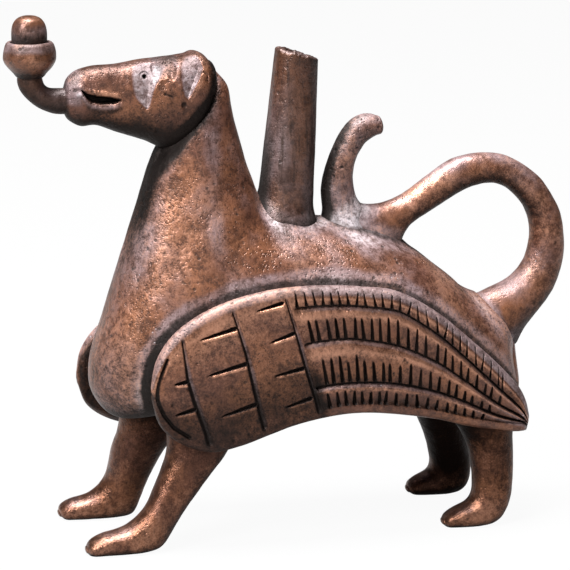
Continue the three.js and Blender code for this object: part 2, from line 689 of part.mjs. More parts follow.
// Stem and bud
const stemForm = (grow) => loft(STEM, { grow, sides: 12, perRow: 1.7, square: 2 });

function turned(profile, sides) {
  const geometry = new THREE.LatheGeometry(profile.map(([r, z]) => new THREE.Vector2(r, z)), sides);
  geometry.rotateX(Math.PI / 2);
  geometry.translate(0, 0, -CUP_FOOT);
  geometry.rotateY(toRadians(-BUD_TILT));
  geometry.translate(BUD_AT, 0, CUP_FOOT);
  return solidOf(geometry);
}

function kernelForm(grow) {
  const foot = CUP_FOOT + CUP_HEIGHT - KERNEL_SEAT;
  const profile = [[0, foot - grow], [KERNEL_RADIUS - 0.6 + grow, foot - grow]];
  for (const [radius, share] of [[1, 0.16], [1.02, 0.45], [1, 0.62], [0.9, 0.79], [0.7, 0.91],
    [0.38, 0.98]]) {
    profile.push([radius * KERNEL_RADIUS + grow, foot + share * KERNEL_HEIGHT]);
  }
  profile.push([0, foot + KERNEL_HEIGHT + grow]);
  return turned(profile, 16);
}

function makeCup() {
  const z = (share) => CUP_FOOT + share * CUP_HEIGHT;
  const cup = turned([
    [0, z(0)], [CUP_FOOT_RADIUS, z(0)], [CUP_FOOT_RADIUS + 2.1, z(0.17)], [CUP_RADIUS - 0.6, z(0.38)],
    [CUP_RADIUS, z(0.62)], [CUP_RADIUS, z(0.78)], [CUP_RADIUS - 0.6, z(0.92)],
    [CUP_RADIUS - 1.6, z(1)], [0, z(1)],
  ], 20);
  return cup.subtract(kernelForm(SEAM)).subtract(stemForm(SEAM));
}

const makeKernel = () => kernelForm(0);

function makeStem() {
  const above = new THREE.BoxGeometry(20, 20, 20);
  above.translate(BUD_AT, 0, CUP_FOOT + STEM_IN_CUP + 10);
  return stemForm(0).subtract(solidOf(above));
}

// Finishes
const bronze = (color, roughness) => new THREE.MeshStandardMaterial({ color, roughness, metalness: 1 });
const BROWN_BRONZE = 0x8a5a42;
const WORN_BRONZE = 0xa86f4c;
const DARK_BRONZE = 0x4a332b;

const candlestick = new THREE.Group();

function add(name, solid, color, roughness) {
  const mesh = solid.getMesh();
  const geometry = new THREE.BufferGeometry();
  geometry.setAttribute('position', new THREE.BufferAttribute(mesh.vertProperties, 3));
  geometry.setIndex(new THREE.BufferAttribute(mesh.triVerts, 1));
  geometry.computeVertexNormals();
  const piece = new THREE.Mesh(geometry, bronze(color, roughness));
  piece.name = name;
  candlestick.add(piece);
}

add('body', makeBody(), BROWN_BRONZE, 0.55);
add('head', makeHead(), WORN_BRONZE, 0.45);
add('left_wing', makeWing(-1), WORN_BRONZE, 0.5);
add('right_wing', makeWing(1), WORN_BRONZE, 0.5);
for (const leg of LEGS) add(leg.name, makeLeg(leg), BROWN_BRONZE, 0.5);
add('candle_shaft', makeShaft(), BROWN_BRONZE, 0.6);
add('tail_loop', makeTailLoop(), WORN_BRONZE, 0.45);
add('tail_curl', makeTailCurl(), BROWN_BRONZE, 0.5);
add('mouth_stem', makeStem(), DARK_BRONZE, 0.5);
add('bud_cup', makeCup(), BROWN_BRONZE, 0.45);
add('bud_kernel', makeKernel(), WORN_BRONZE, 0.45);

candlestick.position.set(-MIDDLE_AT, 0, -SOLES_AT);

export default candlestick;
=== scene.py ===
# A small bronze candlestick in the shape of a standing winged beast.
# Shapes are worked out in millimetres, the way the part's source has them, and turned to metres
# when a mesh is made.
import math

import bpy
import numpy as np
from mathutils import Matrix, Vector


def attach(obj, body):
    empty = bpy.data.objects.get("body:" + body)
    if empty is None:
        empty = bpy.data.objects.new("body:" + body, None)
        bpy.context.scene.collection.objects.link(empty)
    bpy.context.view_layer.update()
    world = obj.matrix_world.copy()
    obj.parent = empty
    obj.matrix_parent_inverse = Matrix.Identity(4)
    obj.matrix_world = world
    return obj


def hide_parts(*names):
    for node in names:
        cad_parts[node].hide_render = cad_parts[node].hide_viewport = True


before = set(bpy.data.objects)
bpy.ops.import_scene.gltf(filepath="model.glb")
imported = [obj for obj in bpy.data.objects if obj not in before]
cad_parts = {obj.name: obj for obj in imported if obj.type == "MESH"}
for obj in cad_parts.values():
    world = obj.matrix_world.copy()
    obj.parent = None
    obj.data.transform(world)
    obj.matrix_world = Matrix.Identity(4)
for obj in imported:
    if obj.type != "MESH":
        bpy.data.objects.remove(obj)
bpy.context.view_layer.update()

# Sizes in millimetres and degrees, most of them the solids' own
MIDDLE_AT = 2.05
SOLES_AT = 0.4
BODY_HALF = 24
NECK_HALF = 11
HEAD_HALF = 11.6
WING_EDGE = 25.4
WING_RISE = 2.7
WING_CROWN = 0.8
WING_BACK = 2.4
WING_ROOT = 9
WING_EDGE_RADIUS = 3.2
RIGHT_WING_STRETCH = 1.118
RIGHT_WING_SLIM = 0.9
RIGHT_WING_DROOP = 1.9
HIP = 12.5
HIP_HEIGHT = 40
LEAN_HEIGHT = 26
SHAFT_TOP = 154
SHAFT_RADIUS_TOP = 6.7
SHAFT_RADIUS_FOOT = 8.8
SHAFT_FOOT_HEIGHT = 104
SHAFT_HIDDEN_FOOT = 94
SHAFT_SWELL = 7
SHAFT_LEAN = 4.3
SOCKET_BORE = 8.6
SOCKET_DEPTH = 38
RIM_SLOPE = 3.4
RIM_CHIP = 0.7
BUD_AT = -79.5
BUD_TILT = 0.3
CUP_FOOT = 146.4
CUP_HEIGHT = 11.2
CUP_RADIUS = 8
CUP_FOOT_RADIUS = 4.2
KERNEL_RADIUS = 5.3
KERNEL_TOP = 165.55
KERNEL_SEAT = 4
CUP_TOP = CUP_FOOT + CUP_HEIGHT
KERNEL_FOOT = CUP_TOP - KERNEL_SEAT
BUD_BULGE = 0.008

# Each row is one section: its upper and lower point in the middle plane, then half its breadth.
BODY = np.array([
    [71.8, 56.6, 75, 37.6, 10.5],
    [68.6, 64, 71, 36.8, 14.8],
    [61, 71.3, 62, 37.5, 18],
    [49.9, 81.8, 50, 39.5, 21],
    [37.8, 90, 37, 41.5, 23],
    [19.7, 96.8, 20, 42.5, BODY_HALF],
    [4, 98.9, 2, 42.5, BODY_HALF],
    [-5, 101, -20, 41.8, BODY_HALF - 0.5],
    [-8.5, 104, -38, 39.8, BODY_HALF - 1],
    [-10, 107.5, -54, 39, BODY_HALF - 2],
    [-11.2, 112, -61.5, 46, BODY_HALF - 3.2],
    [-12.6, 116.5, -62.5, 56, BODY_HALF - 4.8],
    [-13.7, 120.5, -58.5, 69.5, BODY_HALF - 6.8],
    [-15.3, 126.5, -53.2, 86, NECK_HALF + 4],
    [-16.6, 131.5, -47.5, 103, NECK_HALF + 1.8],
    [-17.5, 136.5, -42.6, 119.5, NECK_HALF],
    [-18.5, 142.4, -38.5, 128, NECK_HALF - 2.4],
    [-22.4, 147.2, -33.5, 138, NECK_HALF - 5],
])
HEAD = np.array([
    [-69.4, 142, -69.7, 136, 3.4],
    [-68.2, 146, -68.2, 133.3, 4.8],
    [-65, 148.4, -64.5, 131.2, 5.9],
    [-59.7, 149.6, -60, 131.3, 6.5],
    [-52, 150.1, -53, 128.9, 7.6],
    [-45, 151.1, -45.5, 126.4, 9.4],
    [-38, 151.7, -39, 123.5, HEAD_HALF - 0.6],
    [-32.3, 152.3, -33, 124.5, HEAD_HALF],
    [-29.1, 153.2, -29, 128.4, HEAD_HALF],
    [-26.4, 152.3, -26.4, 133, HEAD_HALF - 0.8],
    [-24.4, 150.2, -24.4, 138, HEAD_HALF - 3],
])
FRONT_LEG = np.array([
    [-67.6, 2.9, -67.4, 0.9, 2.4],
    [-66.4, 4.6, -66, -0.2, 4.4],
    [-62.6, 6.5, -61.8, -0.4, 5.5],
    [-57, 7.7, -54, -0.4, 5.8],
    [-52.6, 10.2, -47.6, -0.1, 6],
    [-48.8, 14, -43.4, 1.6, 6],
    [-46.1, 19.2, -38.8, 8.6, 6.2],
    [-43.4, 24.8, -33.1, 16.2, 6.6],
    [-41.3, 30, -27.3, 23.2, 7.4],
    [-41, 36, -21.5, 30, 8.2],
    [-42, 46, -18, 40, 9],
])
HIND_LEG = np.array([
    [47.9, 2.9, 48, 0.9, 2.4],
    [49.3, 4.6, 49.6, -0.2, 4.5],
    [52.6, 6.5, 54.6, -0.4, 5.5],
    [55.8, 7.9, 61, -0.2, 6],
    [57.6, 10.8, 66.6, 1.4, 6.2],
    [57.9, 14.6, 70.2, 7.4, 6.3],
    [57.6, 19.5, 71.3, 17.2, 6.4],
    [56.5, 26, 71.2, 25.8, 7],
    [53.4, 32, 71.2, 31.6, 8],
    [48.6, 37, 72, 37.6, 9],
    [44, 43, 73, 44, 9.5],
])
TAIL = np.array([
    [68, 49, 55, 63, 7],
    [75.6, 56.2, 61, 71, 7.6],
    [82.2, 64, 69.7, 74.4, 7.2],
    [87.5, 70.5, 75.4, 77.6, 6.6],
    [91.3, 79.2, 79.3, 83, 5.9],
    [92.1, 89, 80.9, 91.2, 5.6],
    [89.7, 100.4, 79.3, 98.4, 5.4],
    [83.4, 109.2, 75.2, 103.8, 5.1],
    [75.7, 115.1, 70.6, 107.2, 4.8],
    [66.4, 118, 65, 108.2, 4.7],
    [56.5, 117.1, 58.8, 106.5, 4.8],
    [49.1, 113.2, 53, 103.4, 5],
    [41.5, 107.6, 46.5, 99.3, 5.1],
    [36.6, 104.6, 40.2, 96, 5.2],
    [31, 102.8, 36.8, 90, 5.4],
    [26, 102.6, 30, 88, 5.6],
    [21, 102, 23, 88, 5.3],
])
TAIL_AT_RUMP = TAIL[1:5]
TAIL_ON_BACK = TAIL[13:]
CURL = np.array([
    [12.2, 91, 25.6, 91, 6.2],
    [12.4, 98.8, 24.7, 100.5, 5.6],
    [11.6, 105, 22.8, 105.5, 4.9],
    [11.8, 111, 21.7, 111, 4.6],
    [13.6, 117.1, 22.2, 116.2, 4.4],
    [16.2, 123.2, 24, 120, 4.2],
    [20, 129.2, 26.2, 122.8, 4.1],
    [25.3, 132, 28.4, 124.2, 4],
    [29.6, 130.9, 30.4, 124.9, 3.3],
])
STEM = np.array([
    [-61.5, 142.2, -61.5, 136, 3],
    [-66, 142.8, -66.5, 135.2, 3.7],
    [-70, 143.1, -71, 134.8, 3.9],
    [-73.2, 143.1, -76.4, 136.6, 3.6],
    [-75.3, 144.1, -81.2, 140.2, 3.4],
    [-75.9, 146.3, -83.8, 145.1, 3.6],
    [-76.4, 149, -83, 149, 3],
])
# Top and bottom edge of the left wing, then the depth of its edge line inside WING_EDGE
WING = np.array([
    [-47.9, 54, -47.8, 50, 1],
    [-46.6, 61, -45.2, 41.4, 0.8],
    [-43.3, 67.3, -38.6, 35.3, 0.5],
    [-38.3, 72.4, -29.5, 32.2, 0.3],
    [-31, 76.8, -20.5, 33.5, 0.1],
    [-23, 79.9, -11.5, 36.4, 0],
    [-14.5, 81.9, -3.5, 39, 0],
    [-5.7, 83, 4.5, 40.7, 0],
    [6, 83.1, 13, 41.7, 0],
    [18, 82.1, 21.5, 41.6, 0.2],
    [30, 79.8, 31, 40.3, 0.8],
    [42.9, 72.3, 42.5, 37.9, 2],
    [54, 63, 53, 34.7, 3.6],
    [65.2, 52.6, 63, 32, 5.6],
    [72.8, 43.8, 70.8, 30.6, 7],
    [75.7, 35.4, 74.8, 30.6, 7.8],
])
WING_END = len(WING) - 1
# Cross lines: their row at four shares of the face, from top to bottom, and half the width of each
COVERT_SHARES = (0, 0.35, 0.6, 0.9)
COVERT_LINES = ((2.86, 2.76, 2.84, 3.0), (4.93, 5.0, 4.96, 4.93), (6.86, 6.94, 6.97, 7.06))
COVERT_HALVES = (1.6, 1.35, 1.1)
# The rows where the long feathers and the thin tip begin
FEATHERS_FROM = 7
TIP_FROM = 13
# The long grooves: a row, then the shares of the face of all three there
FEATHER_LINES = np.array([
    [7, 0.09, 0.41, 0.8],
    [8.5, 0.08, 0.385, 0.795],
    [10, 0.09, 0.425, 0.79],
    [11, 0.13, 0.45, 0.785],
    [12, 0.18, 0.5, 0.79],
    [13, 0.26, 0.6, 0.85],
    [15, 0.4, 0.7, 0.92],
])
# Short scored dashes: row and share of the face at the thin end and at the blunt end
DASHES = (
    (1.75, 0.76, 2.78, 0.65), (1.95, 0.35, 2.72, 0.375), (3.35, 0.08, 4.9, 0.13),
    (3.3, 0.39, 4.9, 0.43), (3.5, 0.77, 4.9, 0.775), (5.6, 0.05, 6.75, 0.025),
    (5.8, 0.33, 6.9, 0.29), (5.6, 0.605, 6.9, 0.6), (5.75, 0.89, 6.9, 0.87),
)
DASH_HALF_FRONT = 0.95  # half the width in front of the second cross line
DASH_HALF_BACK = 0.85  # and behind it
# Rows of barbs, one in each feather: first and last wing row, how many, and the shares of the
# feather's own breadth they run between
BARBS = ((7.15, 13.1, 26, -0.5, 0.85), (7.37, 13, 23, 0.3, 0.97),
         (7.5, 12.7, 20, 0.42, 0.95), (7.5, 12.5, 18, 0.35, 0.95))
# The line scored round the front end: row and share of the face at each of its corners
RIM_LINE = ((1.9, 0.03), (1.35, 0.12), (1, 0.25), (0.86, 0.4), (0.84, 0.55), (0.95, 0.7),
            (1.2, 0.85), (1.7, 0.94), (2.3, 0.97))

# Carved hollows on the side of the head, each with its height, its front edge, its deepest line,
# its back edge and its depth
EYE = np.array([
    [136.4, -45.6, -45.3, -45.0, 0],
    [138, -47.2, -45.2, -44.2, 0.8],
    [140, -49, -44.9, -43.8, 1.6],
    [142, -50, -44.5, -43.3, 2],
    [144.5, -50.4, -44.2, -42.2, 2.1],
    [147, -50.4, -44.4, -40.2, 1.8],
    [149, -50.2, -44.8, -38.2, 1.1],
    [150.8, -49.8, -45, -37, 0],
])
EAR = np.array([
    [139.7, -33.6, -33.3, -33.0, 0],
    [141, -34.7, -32.7, -32.1, 0.8],
    [143, -35.1, -31.7, -30.9, 1.7],
    [146, -35.4, -30.2, -29.2, 2.5],
    [149, -35.2, -28.9, -27.8, 2.5],
    [151, -34.6, -29.1, -28.2, 1.3],
    [152.6, -34, -29.6, -29, 0],
])
# Marks on the side of the head, each a point x, z or a line of them
PUPIL_AT = (-45.5, 146.6)
MOUTH_TOP = ((-64.8, 142.9), (-63, 141.6), (-60, 140.95), (-57, 140.6), (-54.6, 140.1),
             (-52.7, 139.7))
MOUTH_BOTTOM = ((-64.8, 142.9), (-63.5, 140.9), (-61.8, 139.3), (-58.9, 138.7), (-55.1, 138.9),
                (-52.7, 139.7))
CHEEK_AT = (-38.5, 141.5)
CRATER_AT = (-34.2, 138.2)
NAPE_NOTCH = ((-29.1, 147.4), (-27.8, 148), (-26.6, 147), (-26.6, 145.2))
CHEEK_SCRATCH = ((-40, 141.5), (-38, 140.9))
# The fold from the eye over the cheek to the ear's tip
FOLD = ((-42.8, 143.6), (-41.2, 146), (-38.8, 146.9), (-36, 144.6), (-33.9, 141.4))
# Where the jaw and the nape meet the neck, seen from the side
CREASE = ((-23, 150), (-23.6, 146.7), (-24.3, 143.4), (-25.8, 139.7), (-28.8, 135.7), (-32, 132),
          (-35.3, 128), (-38, 124.5), (-43, 121))

ACROSS = np.array([0.0, 1.0, 0.0])
FAR = 1e3
CAP_RINGS = 12  # in each rounded end
WAVES = 9  # in a field of lumps
CUP_RIM_RING = 125  # the rings after it are inside the cup
BACK_ROWS = 9  # of BODY, from the rump to the foot of the neck


# Shapes
def smooth(low, high, value):
    """0 below low, 1 above high, and a smooth step between them."""
    f = np.clip((value - low) / (high - low), 0, 1)
    return f * f * (3 - 2 * f)


def bell(value, width):
    """A bell curve: 1 at 0 and 1/e at the width."""
    return np.exp(-(value / width) ** 2)


def rounded_to(distance, radius):
    """A quarter circle: 0 at an end, 1 from the radius on."""
    return np.sqrt(1 - (1 - np.clip(distance / radius, 0, 1)) ** 2)


def power(value, exponent):
    """The size of the value raised to the exponent, with the value's sign."""
    return np.sign(value) * np.abs(value) ** exponent


def rows_at(rows, t):
    """The rows joined by a Catmull-Rom curve, read at the fractional row numbers t."""
    padded = np.vstack([2 * rows[0] - rows[1], rows, 2 * rows[-1] - rows[-2]])
    i = np.clip(np.floor(t).astype(int), 0, len(rows) - 2)
    f = (t - i)[:, None]
    a, b, c, d = padded[i], padded[i + 1], padded[i + 2], padded[i + 3]
    return b + 0.5 * f * (c - a + f * (2 * a - 5 * b + 4 * c - d + f * (3 * (b - c) + d - a)))


def loft(rows, along, around, square, start_depth, end_depth, across=None, soften=0):
    """Superellipses that stand between the upper and lower points of the rows, with quarter-ellipse
    caps of the given depths. A ring point is centre + rise * sin^(2 / square) + half *
    cos^(2 / square) across. Each section is the mean of those within soften rows of it."""
    t = np.linspace(0, len(rows) - 1, along)
    reach = np.minimum(soften, np.minimum(t, len(rows) - 1 - t))
    section = np.mean([rows_at(rows, t + reach * step) for step in np.linspace(-1, 1, 9)], axis=0)
    upper = np.stack([section[:, 0], 0 * t, section[:, 1]], 1)
    lower = np.stack([section[:, 2], 0 * t, section[:, 3]], 1)
    centre = (upper + lower) / 2
    rise = upper - centre
    if across is not None:
        centre[:, 1] = across(centre[:, 2])
    angle = np.linspace(0, 2 * math.pi, around, endpoint=False)
    tall = power(np.sin(angle), 2 / square)[None, :, None]
    wide = power(np.cos(angle), 2 / square)[None, :, None]
    rings = centre[:, None] + rise[:, None] * tall + section[:, 4, None, None] * wide * ACROSS

    def cap(end, before, depth):
        away = np.array([rise[end][2], 0, -rise[end][0]])
        away /= np.linalg.norm(away)
        away *= np.sign(away @ (centre[end] - centre[before]))
        turn = np.linspace(0, math.pi / 2, CAP_RINGS + 2)[1:-1, None, None]
        shrunk = centre[end] + (rings[end] - centre[end]) * np.cos(turn)
        return shrunk + away * depth * np.sin(turn), centre[end] + away * depth

    first, start = cap(0, 1, start_depth)
    last, end = cap(-1, -2, end_depth)
    return np.concatenate([first[::-1], rings, last]), start, end


def normals_of(grid):
    """Unit normals of a grid whose second direction closes on itself, pointing away from the
    middle of each ring."""
    along = np.gradient(grid, axis=0)
    around = (np.roll(grid, -1, axis=1) - np.roll(grid, 1, axis=1)) / 2
    normal = np.cross(along, around)
    normal /= np.linalg.norm(normal, axis=2, keepdims=True) + 1e-9
    outward = grid - grid.mean(axis=1, keepdims=True)
    return normal * np.sign(np.sum(normal * outward, axis=(1, 2)).sum())


def raised(grid, height):
    """The grid with each point moved out along its normal by its height."""
    return grid + normals_of(grid) * height[..., None]


def lumps(points, size, seed):
    """A soft random field of about -1 to 1: a fifth of the sum of nine sine waves of about the
    given size, each in a direction of its own."""
    rng = np.random.default_rng(seed)
    total = 0
    for _ in range(WAVES):
        direction = rng.normal(size=3)
        direction *= rng.uniform(0.6, 1.6) * 2 * math.pi / (size * np.linalg.norm(direction))
        total = total + np.sin(points @ direction + rng.uniform(0, 6.28))
    return total / 5


def dents(grid, count, widest, deepest, seed, wanted=None):
    """Round casting pits at random points of the grid: how deep each grid point lies, from the
    deepest one in whose circle it is, as depth * (1 - (distance / radius)^2)^2. The chance of a pit
    at a point follows wanted."""
    rng = np.random.default_rng(seed)
    flat = grid.reshape(-1, 3)
    chance = np.ones(len(flat)) if wanted is None else np.clip(wanted.ravel(), 0, None)
    depth = np.zeros(len(flat))
    for middle in rng.choice(len(flat), count, replace=False, p=chance / chance.sum()):
        radius = widest * rng.uniform(0.35, 1) ** 1.5
        near = 1 - np.sum((flat - flat[middle]) ** 2, axis=1) / radius ** 2
        size = deepest * radius / widest * rng.uniform(0.6, 1)
        depth = np.maximum(depth, size * np.clip(near, 0, None) ** 2)
    return depth.reshape(grid.shape[:-1])


def tube_distance(points, rows):
    """Distance from points to the round rod that the rows describe: the least, over 60 balls along
    it, of the distance to the ball's middle less its radius."""
    section = rows_at(rows, np.linspace(0, len(rows) - 1, 60))
    middle = np.stack([(section[:, 0] + section[:, 2]) / 2, 0 * section[:, 0],
                       (section[:, 1] + section[:, 3]) / 2], 1)
    radius = np.hypot(section[:, 0] - section[:, 2], section[:, 1] - section[:, 3]) / 2
    flat = points.reshape(-1, 3)
    least = np.full(len(flat), FAR)
    for centre, size in zip(middle, radius):
        least = np.minimum(least, np.linalg.norm(flat - centre, axis=1) - size)
    return least.reshape(points.shape[:-1])


def line_distance(x, z, line):
    """Distance in the side view from x, z to the nearest of the line's straight parts."""
    least = np.full(x.shape, FAR)
    for (ax, az), (bx, bz) in zip(line[:-1], line[1:]):
        dx, dz = bx - ax, bz - az
        f = np.clip(((x - ax) * dx + (z - az) * dz) / (dx * dx + dz * dz), 0, 1)
        least = np.minimum(least, np.hypot(x - ax - f * dx, z - az - f * dz))
    return least


def fillet(grid, distance, reach):
    """Moves a surface out along its normals by (reach - d)^2 / (4 reach) where the distance d to
    its neighbour is under the reach, so the two meet in a concave curve."""
    near = np.clip(reach - np.maximum(distance, 0), 0, None)
    return raised(grid, near ** 2 / (4 * reach))


def groove(distance, half, depth):
    """A cut with sloping sides: full depth in the middle, nothing at half its width, with soft
    lips."""
    return depth * smooth(half, 0, np.abs(distance))


def add_piece(node, grid, start, end, material, patina_and_painted_shade, wear_and_painted_highlight, lilac_patina_and_painted_sheen):
    """A closed mesh from rings joined in order and a point at each end. The last three are numbers
    for every grid point, kept as attributes; the ends take the mean of their ring."""
    rings, sides = grid.shape[:2]
    points = np.concatenate([[start], grid.reshape(-1, 3), [end]])
    near = 1 + np.arange(sides)
    far = np.roll(near, -1)
    shift = (np.arange(rings - 1) * sides)[:, None]
    quads = np.stack([near + shift, far + shift, far + sides + shift, near + sides + shift], 2)
    last = (rings - 1) * sides
    quads = quads.reshape(-1, 4)
    triangles = np.concatenate([
        np.stack([0 * near, far, near], 1),
        np.stack([0 * near + len(points) - 1, near + last, far + last], 1)])
    a, b, c, d = (points[quads[:, k]] for k in range(4))
    volume = np.sum(a * np.cross(b, c)) + np.sum(a * np.cross(c, d))
    if volume < 0:
        quads, triangles = quads[:, ::-1], triangles[:, ::-1]
    name = node + "_cast"
    mesh = bpy.data.meshes.new(name)
    place = (points - [MIDDLE_AT, 0, SOLES_AT]) / 1000
    mesh.from_pydata(place.tolist(), [], quads.tolist() + triangles.tolist())
    mesh.shade_smooth()
    for field, values in (("patina_and_painted_shade", patina_and_painted_shade), ("wear_and_painted_highlight", wear_and_painted_highlight), ("lilac_patina_and_painted_sheen", lilac_patina_and_painted_sheen)):
        flat = np.concatenate([[values[0].mean()], values.ravel(), [values[-1].mean()]])
        attribute = mesh.attributes.new(field, "FLOAT", "POINT")
        attribute.data.foreach_set("value", flat.astype(np.float32))
    piece = bpy.data.objects.new(name, mesh)
    bpy.context.scene.collection.objects.link(piece)
    mesh.materials.append(material)
    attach(piece, "root")
    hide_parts(node)


# Shader maths
# The places of the Mix node's sockets for two colours and for their mixture
FIRST_COLOR, SECOND_COLOR, MIXED_COLOR = 6, 7, 2


class Value:
    """A socket that Python arithmetic can be done on: each operation adds a Math node."""

    def __init__(self, shader, socket):
        self.shader = shader
        self.socket = socket

    def math(self, operation, first, second):
        node = self.shader.node("ShaderNodeMath", {"operation": operation}, first, second)
        return Value(self.shader, node.outputs[0])

    def __add__(self, other):
        return self.math("ADD", self, other)

    def __sub__(self, other):
        return self.math("SUBTRACT", self, other)

    def __rsub__(self, other):
        return self.math("SUBTRACT", other, self)

    def __mul__(self, other):
        return self.math("MULTIPLY", self, other)

    __radd__ = __add__
    __rmul__ = __mul__


class Shader:
    """A new material and the nodes in it."""

    def __init__(self, name):
        self.material = bpy.data.materials.new(name)
        self.material.use_nodes = True
        self.tree = self.material.node_tree
        self.tree.nodes.clear()

    def node(self, kind, settings, *values, **named):
        """One node: its settings first, then the values or links of its sockets in order or by
        name."""
        node = self.tree.nodes.new(kind)
        for key, value in settings.items():
            setattr(node, key, value)
        for key, value in list(enumerate(values)) + list(named.items()):
            socket = node.inputs[key if isinstance(key, int) else key.replace("_", " ")]
            if isinstance(value, Value):
                self.tree.links.new(value.socket, socket)
            else:
                socket.default_value = value
        return node

    def output(self, node, name=0):
        return Value(self, node.outputs[name])

    def coordinates(self):
        return self.output(self.node("ShaderNodeTexCoord", {}), "Object")

    def field(self, name):
        return self.output(self.node("ShaderNodeAttribute", {"attribute_name": name}), "Fac")

    def noise(self, where, scale, detail, roughness=0.55):
        node = self.node("ShaderNodeTexNoise", {}, Vector=where, Scale=scale, Detail=detail,
                         Roughness=roughness)
        return self.output(node)

    def stretched(self, where, scale, turn=(0, 0, 0)):
        """The coordinates turned and stretched by a scale along each axis."""
        node = self.node("ShaderNodeMapping", {}, Vector=where, Scale=scale, Rotation=turn)
        return self.output(node)

    def cells(self, where, scale):
        """Distance to the middle of the nearest of many scattered cells."""
        return self.output(self.node("ShaderNodeTexVoronoi", {}, Vector=where, Scale=scale))

    def step(self, value, low, high):
        """0 below low, 1 above high, smooth between; low may be the larger."""
        node = self.node("ShaderNodeMapRange", {"interpolation_type": "SMOOTHSTEP"},
                         value, low, high, 0.0, 1.0)
        return self.output(node)

    def blend(self, factor, first, second):
        node = self.node("ShaderNodeMix", {"data_type": "RGBA"}, Factor=factor)
        for place, value in ((FIRST_COLOR, first), (SECOND_COLOR, second)):
            socket = node.inputs[place]
            if isinstance(value, Value):
                self.tree.links.new(value.socket, socket)
            else:
                socket.default_value = (*value, 1)
        return self.output(node, MIXED_COLOR)

    def bump(self, height, distance):
        return self.output(self.node("ShaderNodeBump", {}, Height=height, Distance=distance))

    def finish(self, surface):
        out = self.node("ShaderNodeOutputMaterial", {})
        self.tree.links.new(surface.outputs[0], out.inputs[0])
        return self.material


def srgb(red, green, blue):
    """A colour written as it looks, 0 to 255, turned to light values."""
    parts = np.array([red, green, blue]) / 255
    return tuple(np.where(parts <= 0.04045, parts / 12.92, ((parts + 0.055) / 1.055) ** 2.4))


# Nearly black: dark patina and painted shade
NEARLY_BLACK = srgb(24, 16, 13)
DARK_PATINA = srgb(64, 39, 30)
BROWN = srgb(107, 68, 53)
ORANGE = srgb(140, 90, 62)
# Rubbed bronze, also used for painted highlights
RUBBED_AND_HIGHLIGHT = srgb(206, 150, 122)
# Lilac patina and a painted reflection; the pale colour also gives pale specks
LILAC = srgb(138, 120, 124)
PALE = srgb(205, 198, 203)
BUMP_DEPTH = 0.00065


def bronze(name, darkness, wear, pits, streaked, metal):
    """Old cast bronze: patches of brown and orange, lilac-grey where the attribute of lilac patina
    and painted reflection is high, dark where the one of dark patina and painted shade is high, and
    rubbed bright with painted highlights where the one of wear and painted highlights is high. The
    small bumps of the casting are rubbed and the small dips between them are dark, and there are
    pits, upright streaks, scratches and a few pale specks. The palest patina is more matt than the
    metal."""
    s = Shader(name)
    at = s.coordinates()
    patina_and_painted_shade = s.field("patina_and_painted_shade")
    wear_and_painted_highlight = s.field("wear_and_painted_highlight")
    lilac_patina_and_painted_sheen = s.field("lilac_patina_and_painted_sheen")
    broad = s.noise(at, 38, 4, 0.6)
    middle = s.noise(at, 130, 5, 0.65)
    fine = s.noise(at, 560, 4, 0.65)
    grain = s.noise(at, 1900, 3, 0.6)
    streaks = s.noise(s.stretched(at, (620, 620, 70)), 1, 4, 0.65)
    scratches = s.noise(s.stretched(at, (240, 240, 2600), (0.3, 0.5, 0)), 1, 3, 0.6)
    cell = s.cells(at, 400)
    dots = s.cells(at, 950)
    flecks = s.cells(at, 720)
    pit = s.step(cell, 0.3, 0.12) * s.step(s.noise(at, 150, 2), 0.5, 0.62) * pits
    dot = s.step(dots, 0.38, 0.14) * s.step(s.noise(at, 80, 3), 0.42, 0.6) * pits
    fleck = s.step(flecks, 0.2, 0.1) * s.step(s.noise(at, 90, 2), 0.55, 0.66)
    fleck = fleck * s.step(lilac_patina_and_painted_sheen, 0.25, 0.7)
    relief = middle * 0.2 + fine * 0.45 + grain * 0.35
    color = s.blend(s.step(broad, 0.38, 0.64), BROWN, ORANGE)
    # Lilac patina together with a painted reflection
    color = s.blend(s.step(lilac_patina_and_painted_sheen + (middle - 0.5) * 1.4, 0.0, 1.1) * 0.75, color, LILAC)
    color = s.blend(s.step(lilac_patina_and_painted_sheen + (fine - 0.5) * 0.8, 1.1, 2.0), color, PALE)
    color = s.blend(s.step(streaks, 0.48, 0.68) * streaked, color, DARK_PATINA)
    color = s.blend(s.step(middle, 0.52, 0.36) * 0.4, color, DARK_PATINA)
    color = s.blend(s.step(relief, 0.53, 0.4) * (0.25 + 0.45 * pits), color, DARK_PATINA)
    # Rubbed wear together with painted highlights
    rub_and_highlight = s.step(wear_and_painted_highlight + (relief - 0.5) * 2.4 + (streaks - 0.5) * streaked, 0.3, 1.3) * wear
    color = s.blend(rub_and_highlight, color, RUBBED_AND_HIGHLIGHT)
    color = s.blend(fleck * 0.7, color, PALE)
    # Dark patina in recesses together with painted shade
    dark = s.step(patina_and_painted_shade + (0.5 - relief) * 1.2, 0.0, 1.0)
    color = s.blend(dark, color, NEARLY_BLACK)
    color = s.blend(pit * 0.7 + dot * 0.5, color, NEARLY_BLACK)
    color = s.blend(darkness, color, NEARLY_BLACK)
    patina = s.step(lilac_patina_and_painted_sheen, 0.4, 1.3)
    rough = 0.34 + (fine - 0.5) * 0.4 + dark * 0.25 + pit * 0.3 + patina * 0.2
    height = (middle * 0.3 + fine * 0.38 + grain * 0.08 + scratches * 0.07
              - pit * 0.25 - dot * 0.2)
    shader = s.node("ShaderNodeBsdfPrincipled", {}, Base_Color=color, Roughness=rough,
                    Metallic=metal + rub_and_highlight * 0.3 + dark * 0.3 - patina * 0.3,
                    Normal=s.bump(height, BUMP_DEPTH))
    return s.finish(shader)


